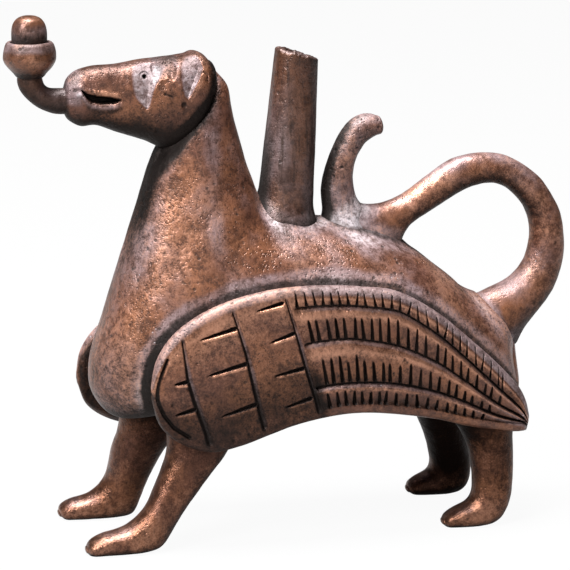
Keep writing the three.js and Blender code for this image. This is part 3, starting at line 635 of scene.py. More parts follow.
# Each piece's bronze: how dark, worn, pitted, streaked and metallic it is
BODY_CAST = bronze("body_bronze", 0.12, 0.8, 1.0, 0.5, 0.4)
HEAD_CAST = bronze("head_bronze", 0.28, 0.9, 0.9, 0.0, 0.5)
WING_CAST = bronze("wing_bronze", 0.32, 1.0, 0.8, 0.0, 0.5)
LEG_CAST = bronze("leg_bronze", 0.42, 1.0, 0.5, 0.5, 0.75)
SHAFT_CAST = bronze("shaft_bronze", 0.6, 0.7, 0.7, 1.0, 0.4)
TAIL_CAST = bronze("tail_bronze", 0.08, 1.0, 0.3, 0.0, 0.55)
CURL_CAST = bronze("curl_bronze", 0.26, 0.8, 0.8, 0.4, 0.35)
BUD_CAST = bronze("bud_bronze", 0.46, 0.9, 0.8, 0.0, 0.5)
STEM_CAST = bronze("stem_bronze", 0.75, 0.4, 0.5, 0.0, 0.5)


# Body and neck
def shaft_axis(z):
    """Where along the length the middle line of the leaning shaft is at the height z."""
    return (z - SHAFT_FOOT_HEIGHT) * math.tan(math.radians(SHAFT_LEAN))


def shaft_radius(z):
    """The shaft's radius at the height z: a straight taper from its foot to its top."""
    f = (z - SHAFT_FOOT_HEIGHT) / (SHAFT_TOP - SHAFT_FOOT_HEIGHT)
    return SHAFT_RADIUS_FOOT + (SHAFT_RADIUS_TOP - SHAFT_RADIUS_FOOT) * f


def back_height(x):
    """Height of the body's top line at x, between the rump and the foot of the neck."""
    back = BODY[:BACK_ROWS][::-1]
    return np.interp(x, back[:, 0], back[:, 1])


def make_body():
    """The body's sections, a little uneven, drawn out in concave curves to meet the shaft and the
    tail, with a crease under the jaw and pits that lie mostly on the neck."""
    grid, start, end = loft(BODY, along=288, around=300, square=2.3, start_depth=2.5, end_depth=3)
    upright = lumps(grid * [1, 1, 0.22], 15, 5) * smooth(62, 90, grid[..., 2])
    grid = raised(grid, 0.15 * lumps(grid, 26, 3) + 0.07 * lumps(grid, 8, 4) + 0.22 * upright)
    high = grid[..., 2]
    shaft = np.hypot(grid[..., 0] - shaft_axis(high), grid[..., 1]) - shaft_radius(high)
    shaft = np.where(high > SHAFT_HIDDEN_FOOT - 2, shaft, FAR)
    grid = fillet(grid, shaft, SHAFT_SWELL)
    tail = tube_distance(grid, TAIL_AT_RUMP)
    grid = fillet(grid, tail, 8)
    tie = np.minimum(tube_distance(grid, TAIL_ON_BACK), tube_distance(grid, CURL[:3]))
    grid = fillet(grid, tie, 5)
    x, y, z = grid[..., 0], grid[..., 1], grid[..., 2]
    crease = line_distance(x, z, CREASE)
    deep = smooth(3.2, 0, crease) * (np.abs(y) > 3)
    grid = raised(grid, -0.9 * deep)
    pitted = smooth(50, 75, z) * (0.3 + smooth(85, 105, z)) * (0.2 + smooth(0, -12, x))
    pits = dents(grid, 260, 1.3, 0.28, 9, pitted)
    up = normals_of(grid)[..., 2]
    grid = raised(grid, -pits)

    left = y < 0
    # Painted shadow under the jaw and painted shade along the neck's front edge
    painted_jaw_shadow = smooth(6.5, 0.5, crease) * smooth(146, 132, z)
    behind_throat = x + 42 - 0.33 * (z - 118)
    throat = (smooth(3.5, 0, behind_throat) * smooth(84, 110, z)
              + 0.35 * smooth(7, 0, behind_throat) * smooth(70, 90, z))
    stripe = bell(behind_throat - 13.5 - 0.3 * (130 - z), 3.5) * smooth(88, 100, z)
    low_chest = smooth(85, 48, z) * smooth(-20, -45, x)
    foot = smooth(3, 0, np.minimum(shaft, tie))
    wing_top = np.concatenate([WING[2::-1, 2:4], WING[:, :2], WING[-1:, 2:4]])
    beside_wing = line_distance(x, z, wing_top)
    fold = smooth(2.4, 0.9, beside_wing) * left
    # Painted shade under the jaw, along the neck's front and the wing's top edge, low on the chest
    # and
    # on faces that look down, with dark patina in the crease and pits and darkening at the joins
    patina_and_painted_shade = np.clip(painted_jaw_shadow + 0.7 * (throat + foot + fold) + deep + 2 * pits + 0.45 * low_chest
                     + 0.5 * smooth(-0.35, -0.9, up), 0, 1)
    # Lilac patina, with a painted reflection on faces that look up
    lilac_patina_and_painted_sheen = np.clip(0.12 + 0.35 * lumps(grid * [1, 1, 0.3], 12, 8) + 0.5 * smooth(0.35, 0.9, up)
                    + 0.9 * smooth(5.5, 2.5, beside_wing) * left + 0.5 * low_chest + 0.5 * stripe
                    + 0.8 * smooth(7, 1.5, tail) + 0.8 * smooth(7, 2, shaft)
                    + 0.6 * smooth(10, 3, tie)
                    + 0.6 * smooth(8, 3, behind_throat) * smooth(70, 90, z), 0, 1.6)
    wear_and_painted_highlight = np.clip(0.35 + 0.35 * lumps(grid * [1, 1, 0.4], 22, 7) + 0.25 * smooth(35, 62, x), 0, 1)
    add_piece("body", grid, start, end, BODY_CAST, patina_and_painted_shade, wear_and_painted_highlight, lilac_patina_and_painted_sheen)


# Head
def scoop(x, z, edges):
    """Depth of a carved recess: it falls from its front edge to its deepest line and climbs steeply
    to its back edge. The four come from the rows of edges by the height z."""
    front, deepest, back, depth = (np.interp(z, edges[:, 0], edges[:, k]) for k in range(1, 5))
    falling = np.clip((x - front) / (deepest - front), 0, 1) ** 1.15
    climbing = np.clip((back - x) / (back - deepest), 0, 1)
    inside = (z > edges[0, 0]) & (z < edges[-1, 0])
    return depth * np.minimum(falling, climbing) * inside


def mouth_marks(x, z):
    """On the side of the head: the open slit of the mouth, how far its lips stand out, and where
    the upper and the lower lip catch the light."""
    top = np.interp(x, *zip(*MOUTH_TOP))
    bottom = np.interp(x, *zip(*MOUTH_BOTTOM))
    in_mouth = (x > MOUTH_TOP[0][0]) & (x < MOUTH_TOP[-1][0])
    slit = smooth(-0.25, 0.25, np.minimum(top - z, z - bottom)) * in_mouth
    lips = 0.55 * bell(z - top - 1.1, 0.9) + 0.7 * bell(z - bottom + 1.4, 1.2)
    lips = lips * smooth(-68, -64, x) * smooth(-50.5, -55, x)
    upper = bell(z - top - 1.2, 1.1) * smooth(-67, -64, x) * smooth(-50, -56, x)
    lower = bell(z - bottom + 1.2, 1.1) * smooth(-68, -65, x) * smooth(-50, -56, x)
    return slit, lips, upper, lower


def make_head():
    """The head's sections. What is carved moves the sides inwards, and the lips, the fold and the
    cheek move them outwards."""
    grid, start, end = loft(HEAD, along=318, around=290, square=2.5, start_depth=1.6, end_depth=2.2)
    x, y, z = (grid[..., k].copy() for k in range(3))
    out = np.abs(y)
    above_fold = z - np.interp(x, *zip(*FOLD))
    facet = (9.9 - 0.95 * (z - 145) + 1.1 * np.clip(x + 37.5, 0, None)
             + 1.2 * np.clip(-43 - x, 0, None))
    shoulder = (np.clip(out - np.maximum(facet, 0), 0, 1.3) * smooth(-46.5, -43.5, x)
                * smooth(-33, -35.5, x) * smooth(-0.8, 0.8, above_fold))
    eye, ear = scoop(x, z, EYE), scoop(x, z, EAR)
    over_pupil = z - PUPIL_AT[1]
    from_pupil = np.hypot(x - PUPIL_AT[0], over_pupil)
    pupil = smooth(0.75, 0.35, from_pupil)
    lid = groove(from_pupil - 1.4, 0.35, 0.25) * (over_pupil > 0.3)
    slit, lips, upper_lip, lower_lip = mouth_marks(x, z)
    notch = groove(line_distance(x, z, NAPE_NOTCH), 0.6, 0.45)
    scratch = groove(line_distance(x, z, CHEEK_SCRATCH), 0.4, 0.35)
    crater = 0.5 * smooth(1.1, 0.6, np.hypot(x - CRATER_AT[0], z - CRATER_AT[1]))
    fold = smooth(1.5, 0.1, line_distance(x, z, FOLD))
    cheek = bell(x - CHEEK_AT[0], 4.5) * bell(z - CHEEK_AT[1], 4.5)
    pits = dents(grid, 40, 0.9, 0.35, 14, smooth(7, 3, np.hypot(x + 38, z - 140)) + 0.05)
    cut = shoulder + eye + ear + 1.5 * pupil + lid + 3.2 * slit + notch + scratch + crater + pits
    proud = lips * (1 - slit) + 0.25 * fold + 0.5 * cheek
    grid[..., 1] = np.sign(y) * np.clip(out + smooth(0.5, 2.5, out) * (proud - cut), 0, None)
    grid = raised(grid, 0.09 * lumps(grid, 14, 11) + 0.05 * lumps(grid, 5, 12))

    up = normals_of(grid)[..., 2]
    crease = line_distance(x, z, CREASE)
    under_fold = bell(x - CHEEK_AT[0], 3.2) * bell(z - 141.8, 2.6) * (1 - fold)
    nose = smooth(-63, -66, x) * smooth(137, 139.5, z)
    forehead = smooth(-43.5, -41.5, x) * smooth(-34, -36, x) * smooth(-0.3, 0.6, above_fold)
    # Dark patina in the cuts and pits; painted shade in the mouth's slit, the crease, the lower
    # half of
    # and faces that look up darker, a painted shade that tones down their highlights
    # the head, under the fold, at the snout's front end and on faces that look down; a darker
    # forehead;
    patina_and_painted_shade = np.clip(1.5 * (slit + pupil + scratch) + 2 * lid + 0.6 * notch + crater + pits
                     + smooth(3, 0.2, crease) + 0.6 * smooth(143, 129, z) + 0.4 * under_fold
                     + 0.25 * forehead * (1 - 0.6 * fold) + 0.6 * smooth(-68, -69.8, x)
                     + 0.55 * smooth(0.1, -0.8, up) + 0.35 * smooth(0.25, 0.9, up), 0, 1.2)
    # Lilac patina, with a painted reflection in the eye and ear scoops, on top of the head, on the
    # lower lip and on the nose
    scooped = smooth(0.05, 0.5, np.maximum(eye, ear)) * (1.35 - 0.5 * smooth(147, 151, z))
    lilac_patina_and_painted_sheen = np.clip(scooped + 0.35 * smooth(147.5, 151, z) * (1 - fold) + 0.8 * (lower_lip + nose)
                    + 0.15 * smooth(-49, -54, x) * smooth(141, 144, z) + 0.35 * forehead, 0, 2)
    from_rim = np.abs(x - np.interp(z, EAR[:, 0], EAR[:, 3]) - 0.8)
    rim = smooth(1.1, 0.2, from_rim) * (z > 139.2)
    snout_top = smooth(-60, -65, x) * smooth(143.5, 146, z)
    # Wear, with painted highlights on the fold, the ear's rim, the upper lip and the top of the
    # snout
    wear_and_painted_highlight = np.clip(0.15 + 0.2 * fold + 0.45 * rim + 0.5 * upper_lip + 0.2 * snout_top
                   + 0.25 * lumps(grid, 14, 13) - 0.3 * scooped, 0, 1)
    add_piece("head", grid, start, end, HEAD_CAST, patina_and_painted_shade, wear_and_painted_highlight, lilac_patina_and_painted_sheen)


# Wings
def wing_rows(t, side):
    """Top and bottom edge of a wing at the fractional row numbers t, and how far out its edge line
    is. The right wing is stretched, slimmed and turned down round the tip."""
    row = rows_at(WING, t)
    top, low = row[:, 0:2].copy(), row[:, 2:4].copy()
    if side > 0:
        tip = WING[-1, 0:2]
        droop = math.radians(RIGHT_WING_DROOP)
        turn = np.array([[math.cos(droop), math.sin(droop)], [-math.sin(droop), math.cos(droop)]])
        size = np.array([RIGHT_WING_STRETCH, RIGHT_WING_SLIM])
        top = ((top - tip) * size) @ turn + tip
        low = ((low - tip) * size) @ turn + tip
    return top, low, WING_EDGE - row[:, 4]


class WingFace:
    """The outer face of a wing as a grid. Each point has its row along the wing, its share of the
    face from the top (0) to the bottom (1), its place x, z in the side view and its height over the
    edge line, which rises in a quarter circle at the edges and in a shallow crown between them."""

    def __init__(self, side):
        self.t = np.concatenate([
            np.linspace(0, 1, 36)[:-1], np.linspace(1, FEATHERS_FROM, 230)[:-1],
            np.linspace(FEATHERS_FROM, TIP_FROM, 320)[:-1], np.linspace(TIP_FROM, WING_END, 50)])
        self.top, self.low, self.edge = wing_rows(self.t, side)
        breadth = np.linalg.norm(self.top - self.low, axis=1)
        self.rounding = np.minimum(WING_EDGE_RADIUS / breadth, 0.3)[:, None]
        inner = 1 - 2 * self.rounding
        step = np.linspace(0, 1, 7, endpoint=False)[None]
        across = np.linspace(0, 1, 132)[None]
        place = np.concatenate([step * self.rounding, self.rounding + inner * across,
                                1 - step[:, ::-1] * self.rounding], 1)
        self.share = (place - self.rounding) / inner
        self.row = self.t[:, None] + 0 * place
        self.x, self.z = self.between(place)
        rise = WING_RISE * np.sqrt(1 - (1 - step) ** 2) + 0 * inner
        crown = WING_RISE + WING_CROWN * (1 - (2 * across - 1) ** 2) + 0 * inner
        self.ends = (rounded_to(self.x - self.x[0], WING_EDGE_RADIUS)
                     * rounded_to(WING_END - self.t, 0.8)[:, None])
        self.height = np.concatenate([rise, crown, rise[:, ::-1]], 1) * self.ends
        self.per_row = np.hypot(np.gradient(self.x, self.t, axis=0),
                                np.gradient(self.z, self.t, axis=0))
        self.per_share = breadth[:, None] * inner
        self.margin = np.minimum(self.share, 1 - self.share) * self.per_share
        self.thin = np.clip(breadth / 16, 0.2, 1)[:, None]
        self.feathered = smooth(FEATHERS_FROM - 0.02, FEATHERS_FROM + 0.25, self.row)
        self.coverts = smooth(FEATHERS_FROM + 0.6, FEATHERS_FROM + 0.1, self.row)

    def between(self, shares):
        """x and z at the given shares of the way from the top edge to the bottom edge."""
        way = self.low - self.top
        return [self.top[:, k:k + 1] + way[:, k:k + 1] * shares for k in (0, 1)]

    def at(self, row, share):
        """The point x, z of the face at a row and a share."""
        k = int(round(np.interp(row, self.t, np.arange(len(self.t)))))
        spot = self.rounding[k, 0] + (1 - 2 * self.rounding[k, 0]) * share
        return self.top[k] + (self.low[k] - self.top[k]) * spot


def dash(x, z, a, b, half, depth):
    """A scored dash from its thin end a to its blunt end b, and the lip it leaves below. Across it
    the cut is deepest on its middle line."""
    length = np.hypot(*(b - a))
    along = ((x - a[0]) * (b - a)[0] + (z - a[1]) * (b - a)[1]) / length ** 2
    below = ((x - a[0]) * (b - a)[1] - (z - a[1]) * (b - a)[0]) / length
    open_half = half * np.clip(along, 0.01, 1) ** 0.55 * smooth(1.04, 0.96, along)
    inside = (along > 0) * (along < 1.04) * smooth(0, 0.3, along)
    cut = depth * smooth(open_half, 0.1 * open_half, np.abs(below)) * inside
    lip = smooth(0.5, 0.1, np.abs(below - open_half - 0.35)) * inside
    return cut, lip


def scored_marks(face):
    """The dashes on the coverts and the line round the front end, and the lips of the dashes."""
    cut = lips = np.zeros_like(face.x)
    for mark in DASHES:
        half = DASH_HALF_BACK if mark[2] > COVERT_LINES[1][0] else DASH_HALF_FRONT
        opened, lip = dash(face.x, face.z, face.at(*mark[:2]), face.at(*mark[2:]), half, 1.2)
        cut = np.maximum(cut, opened)
        lips = np.maximum(lips, lip)
    rim = [tuple(face.at(*spot)) for spot in RIM_LINE]
    return np.maximum(cut, groove(line_distance(face.x, face.z, rim), 0.8, 0.8)), lips


def cross_lines(face):
    """The lines across the coverts: the cut, a soft copy of it a little further back, and its dark
    core towards the front."""
    cut = soft = core = np.zeros_like(face.x)
    for line, half in zip(COVERT_LINES, COVERT_HALVES):
        off = (face.row - np.interp(face.share, COVERT_SHARES, line)) * face.per_row
        off = off / (half * (0.6 + 0.4 * smooth(0, 0.5, face.share)))
        inside = smooth(-0.9, 0.8, face.margin)
        cut = np.maximum(cut, groove(off, 1, 1.0) * inside)
        soft = np.maximum(soft, groove(off - 0.15, 1, 1.0) * inside)
        core = np.maximum(core, smooth(0.5, 0.1, np.abs(off + 0.35)) * inside)
    return cut, soft, core


def barbs(face, within, rng, first, last, count, high, bottom):
    """The cuts across one feather, evenly spaced from the first row to the last and each a little
    out of line, of its own length and depth. They widen towards the feather's lower edge."""
    gap = (last - first) / (count - 1)
    number = np.clip(np.round((face.row - first) / gap), 0, count - 1).astype(int)
    nudge = rng.normal(0, 0.08, count) * gap
    lean = rng.normal(0, 0.1, count) * gap
    longer = rng.uniform(-0.06, 0.1, count)
    deep = rng.uniform(0.7, 1.1, count)
    middle = first + number * gap + nudge[number] + lean[number] * (within - 0.6)
    off = (face.row - middle) * face.per_row / (0.45 + 0.7 * np.clip(within, 0, 1))
    reach = (smooth(high - 0.05, high + 0.12, within + longer[number])
             * smooth(bottom + 0.05, bottom - 0.03, within))
    in_row = np.abs(face.row - (first + last) / 2) < (last - first + gap) / 2
    return groove(off, 0.75, 1.1) * reach * deep[number] * np.sqrt(face.thin) * in_row


def feathers(face, rng):
    """The four long feathers. Each but the top one starts at a groove and rises from it like a
    shingle. Gives the cuts, the rise, the crests, the lower halves and the strips along the
    grooves."""
    lines = [0 * face.t] + [np.interp(face.t, FEATHER_LINES[:, 0], FEATHER_LINES[:, k])
                            for k in (1, 2, 3)] + [1 + 0 * face.t]
    cut = shingle = crest = under_crest = valley = np.zeros_like(face.x)
    for feather, row_of_barbs in enumerate(BARBS):
        above, below = lines[feather][:, None], lines[feather + 1][:, None]
        within = (face.share - above) / (below - above)
        inside = (within > 0) & (within < 1)
        crest = crest + inside * bell(within - 0.24, 0.15)
        under_crest = under_crest + inside * smooth(0.35, 0.95, within)
        if feather > 0:
            rise = smooth(0, 0.26, within) * (1 - 0.75 * within) * 1.3 - 1.05
            shingle = shingle + inside * rise
            off = (face.share - above) * face.per_share
            cut = np.maximum(cut, groove(off, 0.6, 0.95) * face.feathered * face.thin)
            valley = np.maximum(valley, smooth(1.5, 0.5, np.abs(off - 0.6)) * face.feathered)
        cut = np.maximum(cut, barbs(face, within, rng, *row_of_barbs))
    return cut, shingle, crest, under_crest, valley


def wing_back(face):
    """The back of a wing, from its bottom edge to its top edge: x, z and the height, which is below
    the edge line. It is sunk deep in the flank, and thin where the front lobe stands free."""
    free = 1 - smooth(3, 5, face.t)
    shares = np.linspace(1, 0, 12)[None, 1:-1]
    x, z = face.between(shares)
    thickness = ((WING_ROOT + (WING_BACK - WING_ROOT) * free)[:, None]
                 * rounded_to(x - x[0], WING_BACK) * rounded_to(WING_END - face.t, 2)[:, None])
    return x, z, -thickness * (1 - np.abs(2 * shares - 1) ** 5) ** 0.3


def make_wing(side):
    """A wing: its carved face and its plain back, joined along both edges. side is -1 for the left
    wing and 1 for the right."""
    face = WingFace(side)
    scored, lips = scored_marks(face)
    crossed, soft, core = cross_lines(face)
    barbed, shingle, crest, under_crest, valley = feathers(face, np.random.default_rng(21 + side))
    cut = np.maximum(np.maximum(scored, crossed), barbed)
    pits = dents(np.stack([face.x, 0 * face.x, face.z], 2), 170, 0.85, 0.35, 35)
    rise = shingle * face.feathered * face.thin * smooth(1, 0.96, face.share)
    full = np.clip(face.height / WING_RISE, 0, 1)
    height = face.height + rise + 0.2 * lips - (cut + pits) * full
    back_x, back_z, depth = wing_back(face)
    nothing = 0 * back_x
    edge = face.edge[:, None]
    grid = np.concatenate([np.stack([face.x, side * (edge + height), face.z], 2),
                           np.stack([back_x, side * (edge + depth), back_z], 2)], 1)
    wobble = 0.1 * lumps(grid, 16, 31) + 0.06 * lumps(grid, 5, 32)
    grid[..., 1] += side * wobble * np.concatenate([face.ends, nothing], 1)
    middles = (face.top + face.low) / 2
    start = np.array([middles[0, 0] - 0.15, side * face.edge[0], middles[0, 1]])
    end = np.array([middles[-1, 0] + 0.2, side * face.edge[-1], middles[-1, 1]])

    share, feathered, coverts = face.share, face.feathered, face.coverts
    # Dark patina in the cuts, pits and cross lines; painted shade towards the bottom of the coverts
    # and of each feather, and on the back of the wing, which faces the body
    mark = np.clip((cut - 1.1 * soft * coverts) / 0.6, 0, 1.3) * (1 - 0.35 * valley)
    dark = (mark + (0.75 * core + 0.2 * soft + 0.7 * smooth(0.2, 0.9, share)) * coverts
            + (0.4 * under_crest + 0.2 * smooth(0.5, 1, share)) * feathered + 1.2 * pits)
    # Wear on the lips of the dashes; painted highlights on each feather's crest and along the
    # edges;
    # brighter on the upper coverts and less bright towards the bottom, a painted shade
    bright = (0.35 + 0.6 * crest * feathered + 0.9 * lips - 0.35 * smooth(0.45, 1.0, share)
              + 0.3 * smooth(4, 1, face.margin) * smooth(0.02, 0.06, share)
              + 0.3 * smooth(0.4, 0.05, share) * coverts)
    # A painted reflection on the rounded top edge, and lilac along the grooves and cross lines
    pale = 1.5 * smooth(0.02, -0.04, share) + valley + 1.2 * soft * coverts - 0.3
    patina_and_painted_shade = np.concatenate([np.clip(dark, 0, 1.2), 0.3 + 0.55 * smooth(-0.5, -2.2, depth)], 1)
    wear_and_painted_highlight = np.concatenate([np.clip(bright, 0, 1.2), nothing], 1) + 0.15 * lumps(grid, 20, 33)
    lilac_patina_and_painted_sheen = np.concatenate([np.clip(pale, -1, 1.2), nothing], 1)
    node = "left_wing" if side < 0 else "right_wing"
    add_piece(node, grid, start, end, WING_CAST, patina_and_painted_shade, wear_and_painted_highlight, lilac_patina_and_painted_sheen)


# Legs: the node, its side, rows, distance from the middle plane to the middle of the foot, how far
# it is set forward at the sole and per millimetre of height, then how much painted shade darkens
# the shin and its inner side
LEGS = (
    ("front_left_leg", -1, FRONT_LEG, 19.5, 0, 0, 0.15, 0.6),
    ("front_right_leg", 1, FRONT_LEG, 21, 1.6, 0.32, 0.1, 0.1),
    ("hind_left_leg", -1, HIND_LEG, 16.5, 0, 0, 0.45, 0.6),
    ("hind_right_leg", 1, HIND_LEG, 21.5, 0.6, 0.26, 0.55, 0.5),
)


def make_leg(node, side, rows, stance, forward, lean, shin_shade, inner_shade):
    """A leg's sections, which spread outwards below the hip, cut flat at the sole."""
    moved = rows.copy()
    for column in (0, 2):
        moved[:, column] -= forward + lean * np.minimum(rows[:, column + 1], LEAN_HEIGHT)

    def across(z):
        return side * (HIP + (stance - HIP) * np.clip(1 - z / HIP_HEIGHT, 0, 1))

    grid, start, end = loft(moved, along=190, around=130, square=2.1, start_depth=0.6, end_depth=2,
                            across=across, soften=0.4)
    grid = raised(grid, 0.1 * lumps(grid, 15, 41) + 0.05 * lumps(grid, 5, 42))
    grid[..., 2] = np.maximum(grid[..., 2], SOLES_AT)
    start[2] = max(start[2], SOLES_AT)
    z = grid[..., 2]
    normal = normals_of(grid)
    up = normal[..., 2]
    inner = smooth(-0.2, 0.9, -side * normal[..., 1])
    # Painted shade at the top of the leg under the body, at the sole, on faces that look down, on
    # the
    # inner side and on the shin
    patina_and_painted_shade = np.clip(0.8 * smooth(33, 42, z) + 0.8 * smooth(1.4, SOLES_AT, z)
                     + 0.5 * smooth(0.1, -0.8, up) + inner_shade * inner
                     + shin_shade * smooth(2, 18, z) + 0.3 * smooth(20, 38, z), 0, 1)
    # Wear, with a painted highlight on the feet
    wear_and_painted_highlight = np.clip(0.3 + 0.25 * smooth(14, 4, z) + 0.25 * lumps(grid, 16, 43), 0, 1)
    # A painted lilac reflection on faces that look up
    lilac_patina_and_painted_sheen = np.clip(0.7 * smooth(0.3, 0.9, up) + 0.3 * lumps(grid, 14, 44) - 0.2, -1, 1)
    add_piece(node, grid, start, end, LEG_CAST, patina_and_painted_shade, wear_and_painted_highlight, lilac_patina_and_painted_sheen)


# Candle shaft
def make_shaft():
    """Rings up the outside, over the chipped rim, and down the socket to its floor. The section is
    a circle with four slightly pulled-out corners. The foot swells by (reach - d)^2 / (4 reach),
    where d is the height over the back."""
    angle = np.linspace(0, 2 * math.pi, 200, endpoint=False)[None]
    outwards = np.stack([np.cos(angle), np.sin(angle), 0 * angle], 2)
    corner = 1 + 0.025 * np.cos(4 * angle + math.pi) - 0.012 * np.cos(8 * angle)
    ragged = (np.sin(5 * angle + 1) * np.cos(3 * angle) + 0.35 * np.sin(17 * angle)
              + 0.25 * np.sin(29 * angle + 2))
    drop = RIM_SLOPE * (1 + np.cos(angle)) / 2 + RIM_CHIP * (1 + ragged) / 2
    lip = SHAFT_TOP - 1
    floor = SHAFT_TOP - SOCKET_DEPTH
    outside = np.linspace(SHAFT_HIDDEN_FOOT, lip, 120)[:, None]
    outside_high = outside - drop * smooth(SHAFT_TOP - 6, lip, outside)
    turn = np.linspace(0, math.pi, 9)[1:-1, None]
    wall, bore = shaft_radius(SHAFT_TOP) * corner, SOCKET_BORE / 2 + 0 * corner
    lip_high = lip - drop + 0.8 * np.sin(turn) * (1 + 0.2 * ragged)
    lip_radius = (wall + bore) / 2 + (wall - bore) / 2 * np.cos(turn)
    inside = np.linspace(lip, floor, 50)[:, None]
    inside_high = inside - drop * smooth(SHAFT_TOP - 12, lip, inside)
    high = np.concatenate([outside_high, lip_high, inside_high])
    radius = np.concatenate([shaft_radius(outside_high) * corner, lip_radius,
                             bore + 0 * inside_high])
    grid = radius[..., None] * outwards
    grid[..., 0] += shaft_axis(high)
    grid[..., 2] = high
    outer = np.arange(len(high))[:, None] < len(outside)
    gap = np.maximum(over_back(grid), 0)
    flare = np.clip(SHAFT_SWELL - gap, 0, None) ** 2 / (4 * SHAFT_SWELL) * outer
    grid = grid + flare[..., None] * outwards
    wobble = (0.12 * lumps(grid, 18, 51) + 0.05 * lumps(grid, 6, 52)) * outer
    grid = grid + wobble[..., None] * outwards
    start = np.array([shaft_axis(SHAFT_HIDDEN_FOOT), 0, SHAFT_HIDDEN_FOOT])
    end = np.array([shaft_axis(floor), 0, floor])

    # Painted shade down the socket
    depth = np.where(outer, 0, np.clip((SHAFT_TOP - 3 - high) / 6, 0, 1))
    facing_tail = np.cos(angle) * outer
    rim = smooth(SHAFT_TOP - 7, SHAFT_TOP - 4, high) * (depth < 0.3)
    # Painted shade inside the socket, on the side facing the tail and low on the side facing the
    # head;
    # darker by the rim and at the foot
    patina_and_painted_shade = np.clip(1.2 * depth + 0.25 * rim + 0.5 * smooth(4, 0, gap) * outer
                     + 0.45 * smooth(0.1, 0.9, facing_tail)
                     + smooth(-0.6, -0.95, facing_tail) * smooth(38, 12, gap), 0, 1)
    wear_and_painted_highlight = np.clip(0.25 - 0.4 * rim + 0.3 * lumps(grid, 16, 53), 0, 1)
    lilac_patina_and_painted_sheen = np.clip(0.5 + 0.6 * lumps(grid * [1, 1, 0.3], 12, 54) + 0.5 * smooth(6, 1, gap), 0, 1.3)
    lilac_patina_and_painted_sheen = np.where(outer, lilac_patina_and_painted_sheen, 0.6 * rim)
    add_piece("candle_shaft", grid, start, end, SHAFT_CAST, patina_and_painted_shade, wear_and_painted_highlight, lilac_patina_and_painted_sheen)


# Tail, curl and stem
def over_back(points):
    """Height of the points over the body's top line."""
    return points[..., 2] - back_height(points[..., 0])


def make_rod(node, rows, along, end_depth, material, shade, painted_side_shade, pitted, joins):
    """A bent rod with a number of pits, which swells where it comes near a neighbour: joins lists a
    distance function and a reach for each. The darkening grows by shade towards the underside and
    by the side shade towards the front; both are painted shade."""
    grid, start, end = loft(rows, along, around=110, square=2, start_depth=0.5, end_depth=end_depth,
                            soften=0.6)
    near = np.zeros(grid.shape[:2])
    around = np.zeros(grid.shape[:2])
    for distance, reach in joins:
        gap = distance(grid)
        grid = fillet(grid, gap, reach)
        near = np.maximum(near, smooth(reach * 0.5, 0, gap))
        around = np.maximum(around, smooth(7, 1.5, gap))
    grid = raised(grid, 0.12 * lumps(grid, 13, 61) + 0.05 * lumps(grid, 5, 62))
    pits = dents(grid, pitted, 1, 0.4, 64)
    grid = raised(grid, -pits)
    normal = normals_of(grid)
    up = normal[..., 2]
    # Painted shade on the underside and on the side facing the head; darker by the joins and in
    # pits
    patina_and_painted_shade = np.clip(0.2 * near + 1.5 * pits + shade * smooth(0.45, -0.65, up)
                     + painted_side_shade * smooth(-0.3, -0.75, normal[..., 0]), 0, 1)
    wear_and_painted_highlight = np.clip(0.4 + 0.35 * lumps(grid, 17, 63), 0, 1)
    # Lilac patina by the joins, with a painted reflection on faces that look up
    lilac_patina_and_painted_sheen = np.clip(0.2 + 0.6 * smooth(0, 0.9, up) + 0.4 * lumps(grid, 20, 64) + 0.8 * around
                    + 0.6 * painted_side_shade, 0, 1.6)
    add_piece(node, grid, start, end, material, patina_and_painted_shade, wear_and_painted_highlight, lilac_patina_and_painted_sheen)


# Bud
def turned(profile, along, around):
    """A profile of radius and height, smoothed by a Catmull-Rom curve, turned round the bud's
    leaning axis. The radius swells and dips a little with the angle, and the surface is a little
    uneven between its ends."""
    line = rows_at(np.array(profile, float), np.linspace(0, len(profile) - 1, along))
    angle = np.linspace(0, 2 * math.pi, around, endpoint=False)[None]
    radius = line[:, 0:1] * (1 + BUD_BULGE * (np.sin(3 * angle + 0.7) + np.sin(5 * angle)))
    high = line[:, 1:2] - CUP_FOOT + 0 * angle
    tilt = math.radians(BUD_TILT)
    x, y = radius * np.cos(angle), radius * np.sin(angle)
    grid = np.stack([BUD_AT + x * math.cos(tilt) - high * math.sin(tilt), y,
                     CUP_FOOT + high * math.cos(tilt) + x * math.sin(tilt)], 2)
    fading = np.sin(np.linspace(0, math.pi, along))[:, None]
    return raised(grid, 0.1 * lumps(grid, 6, 75) * fading)


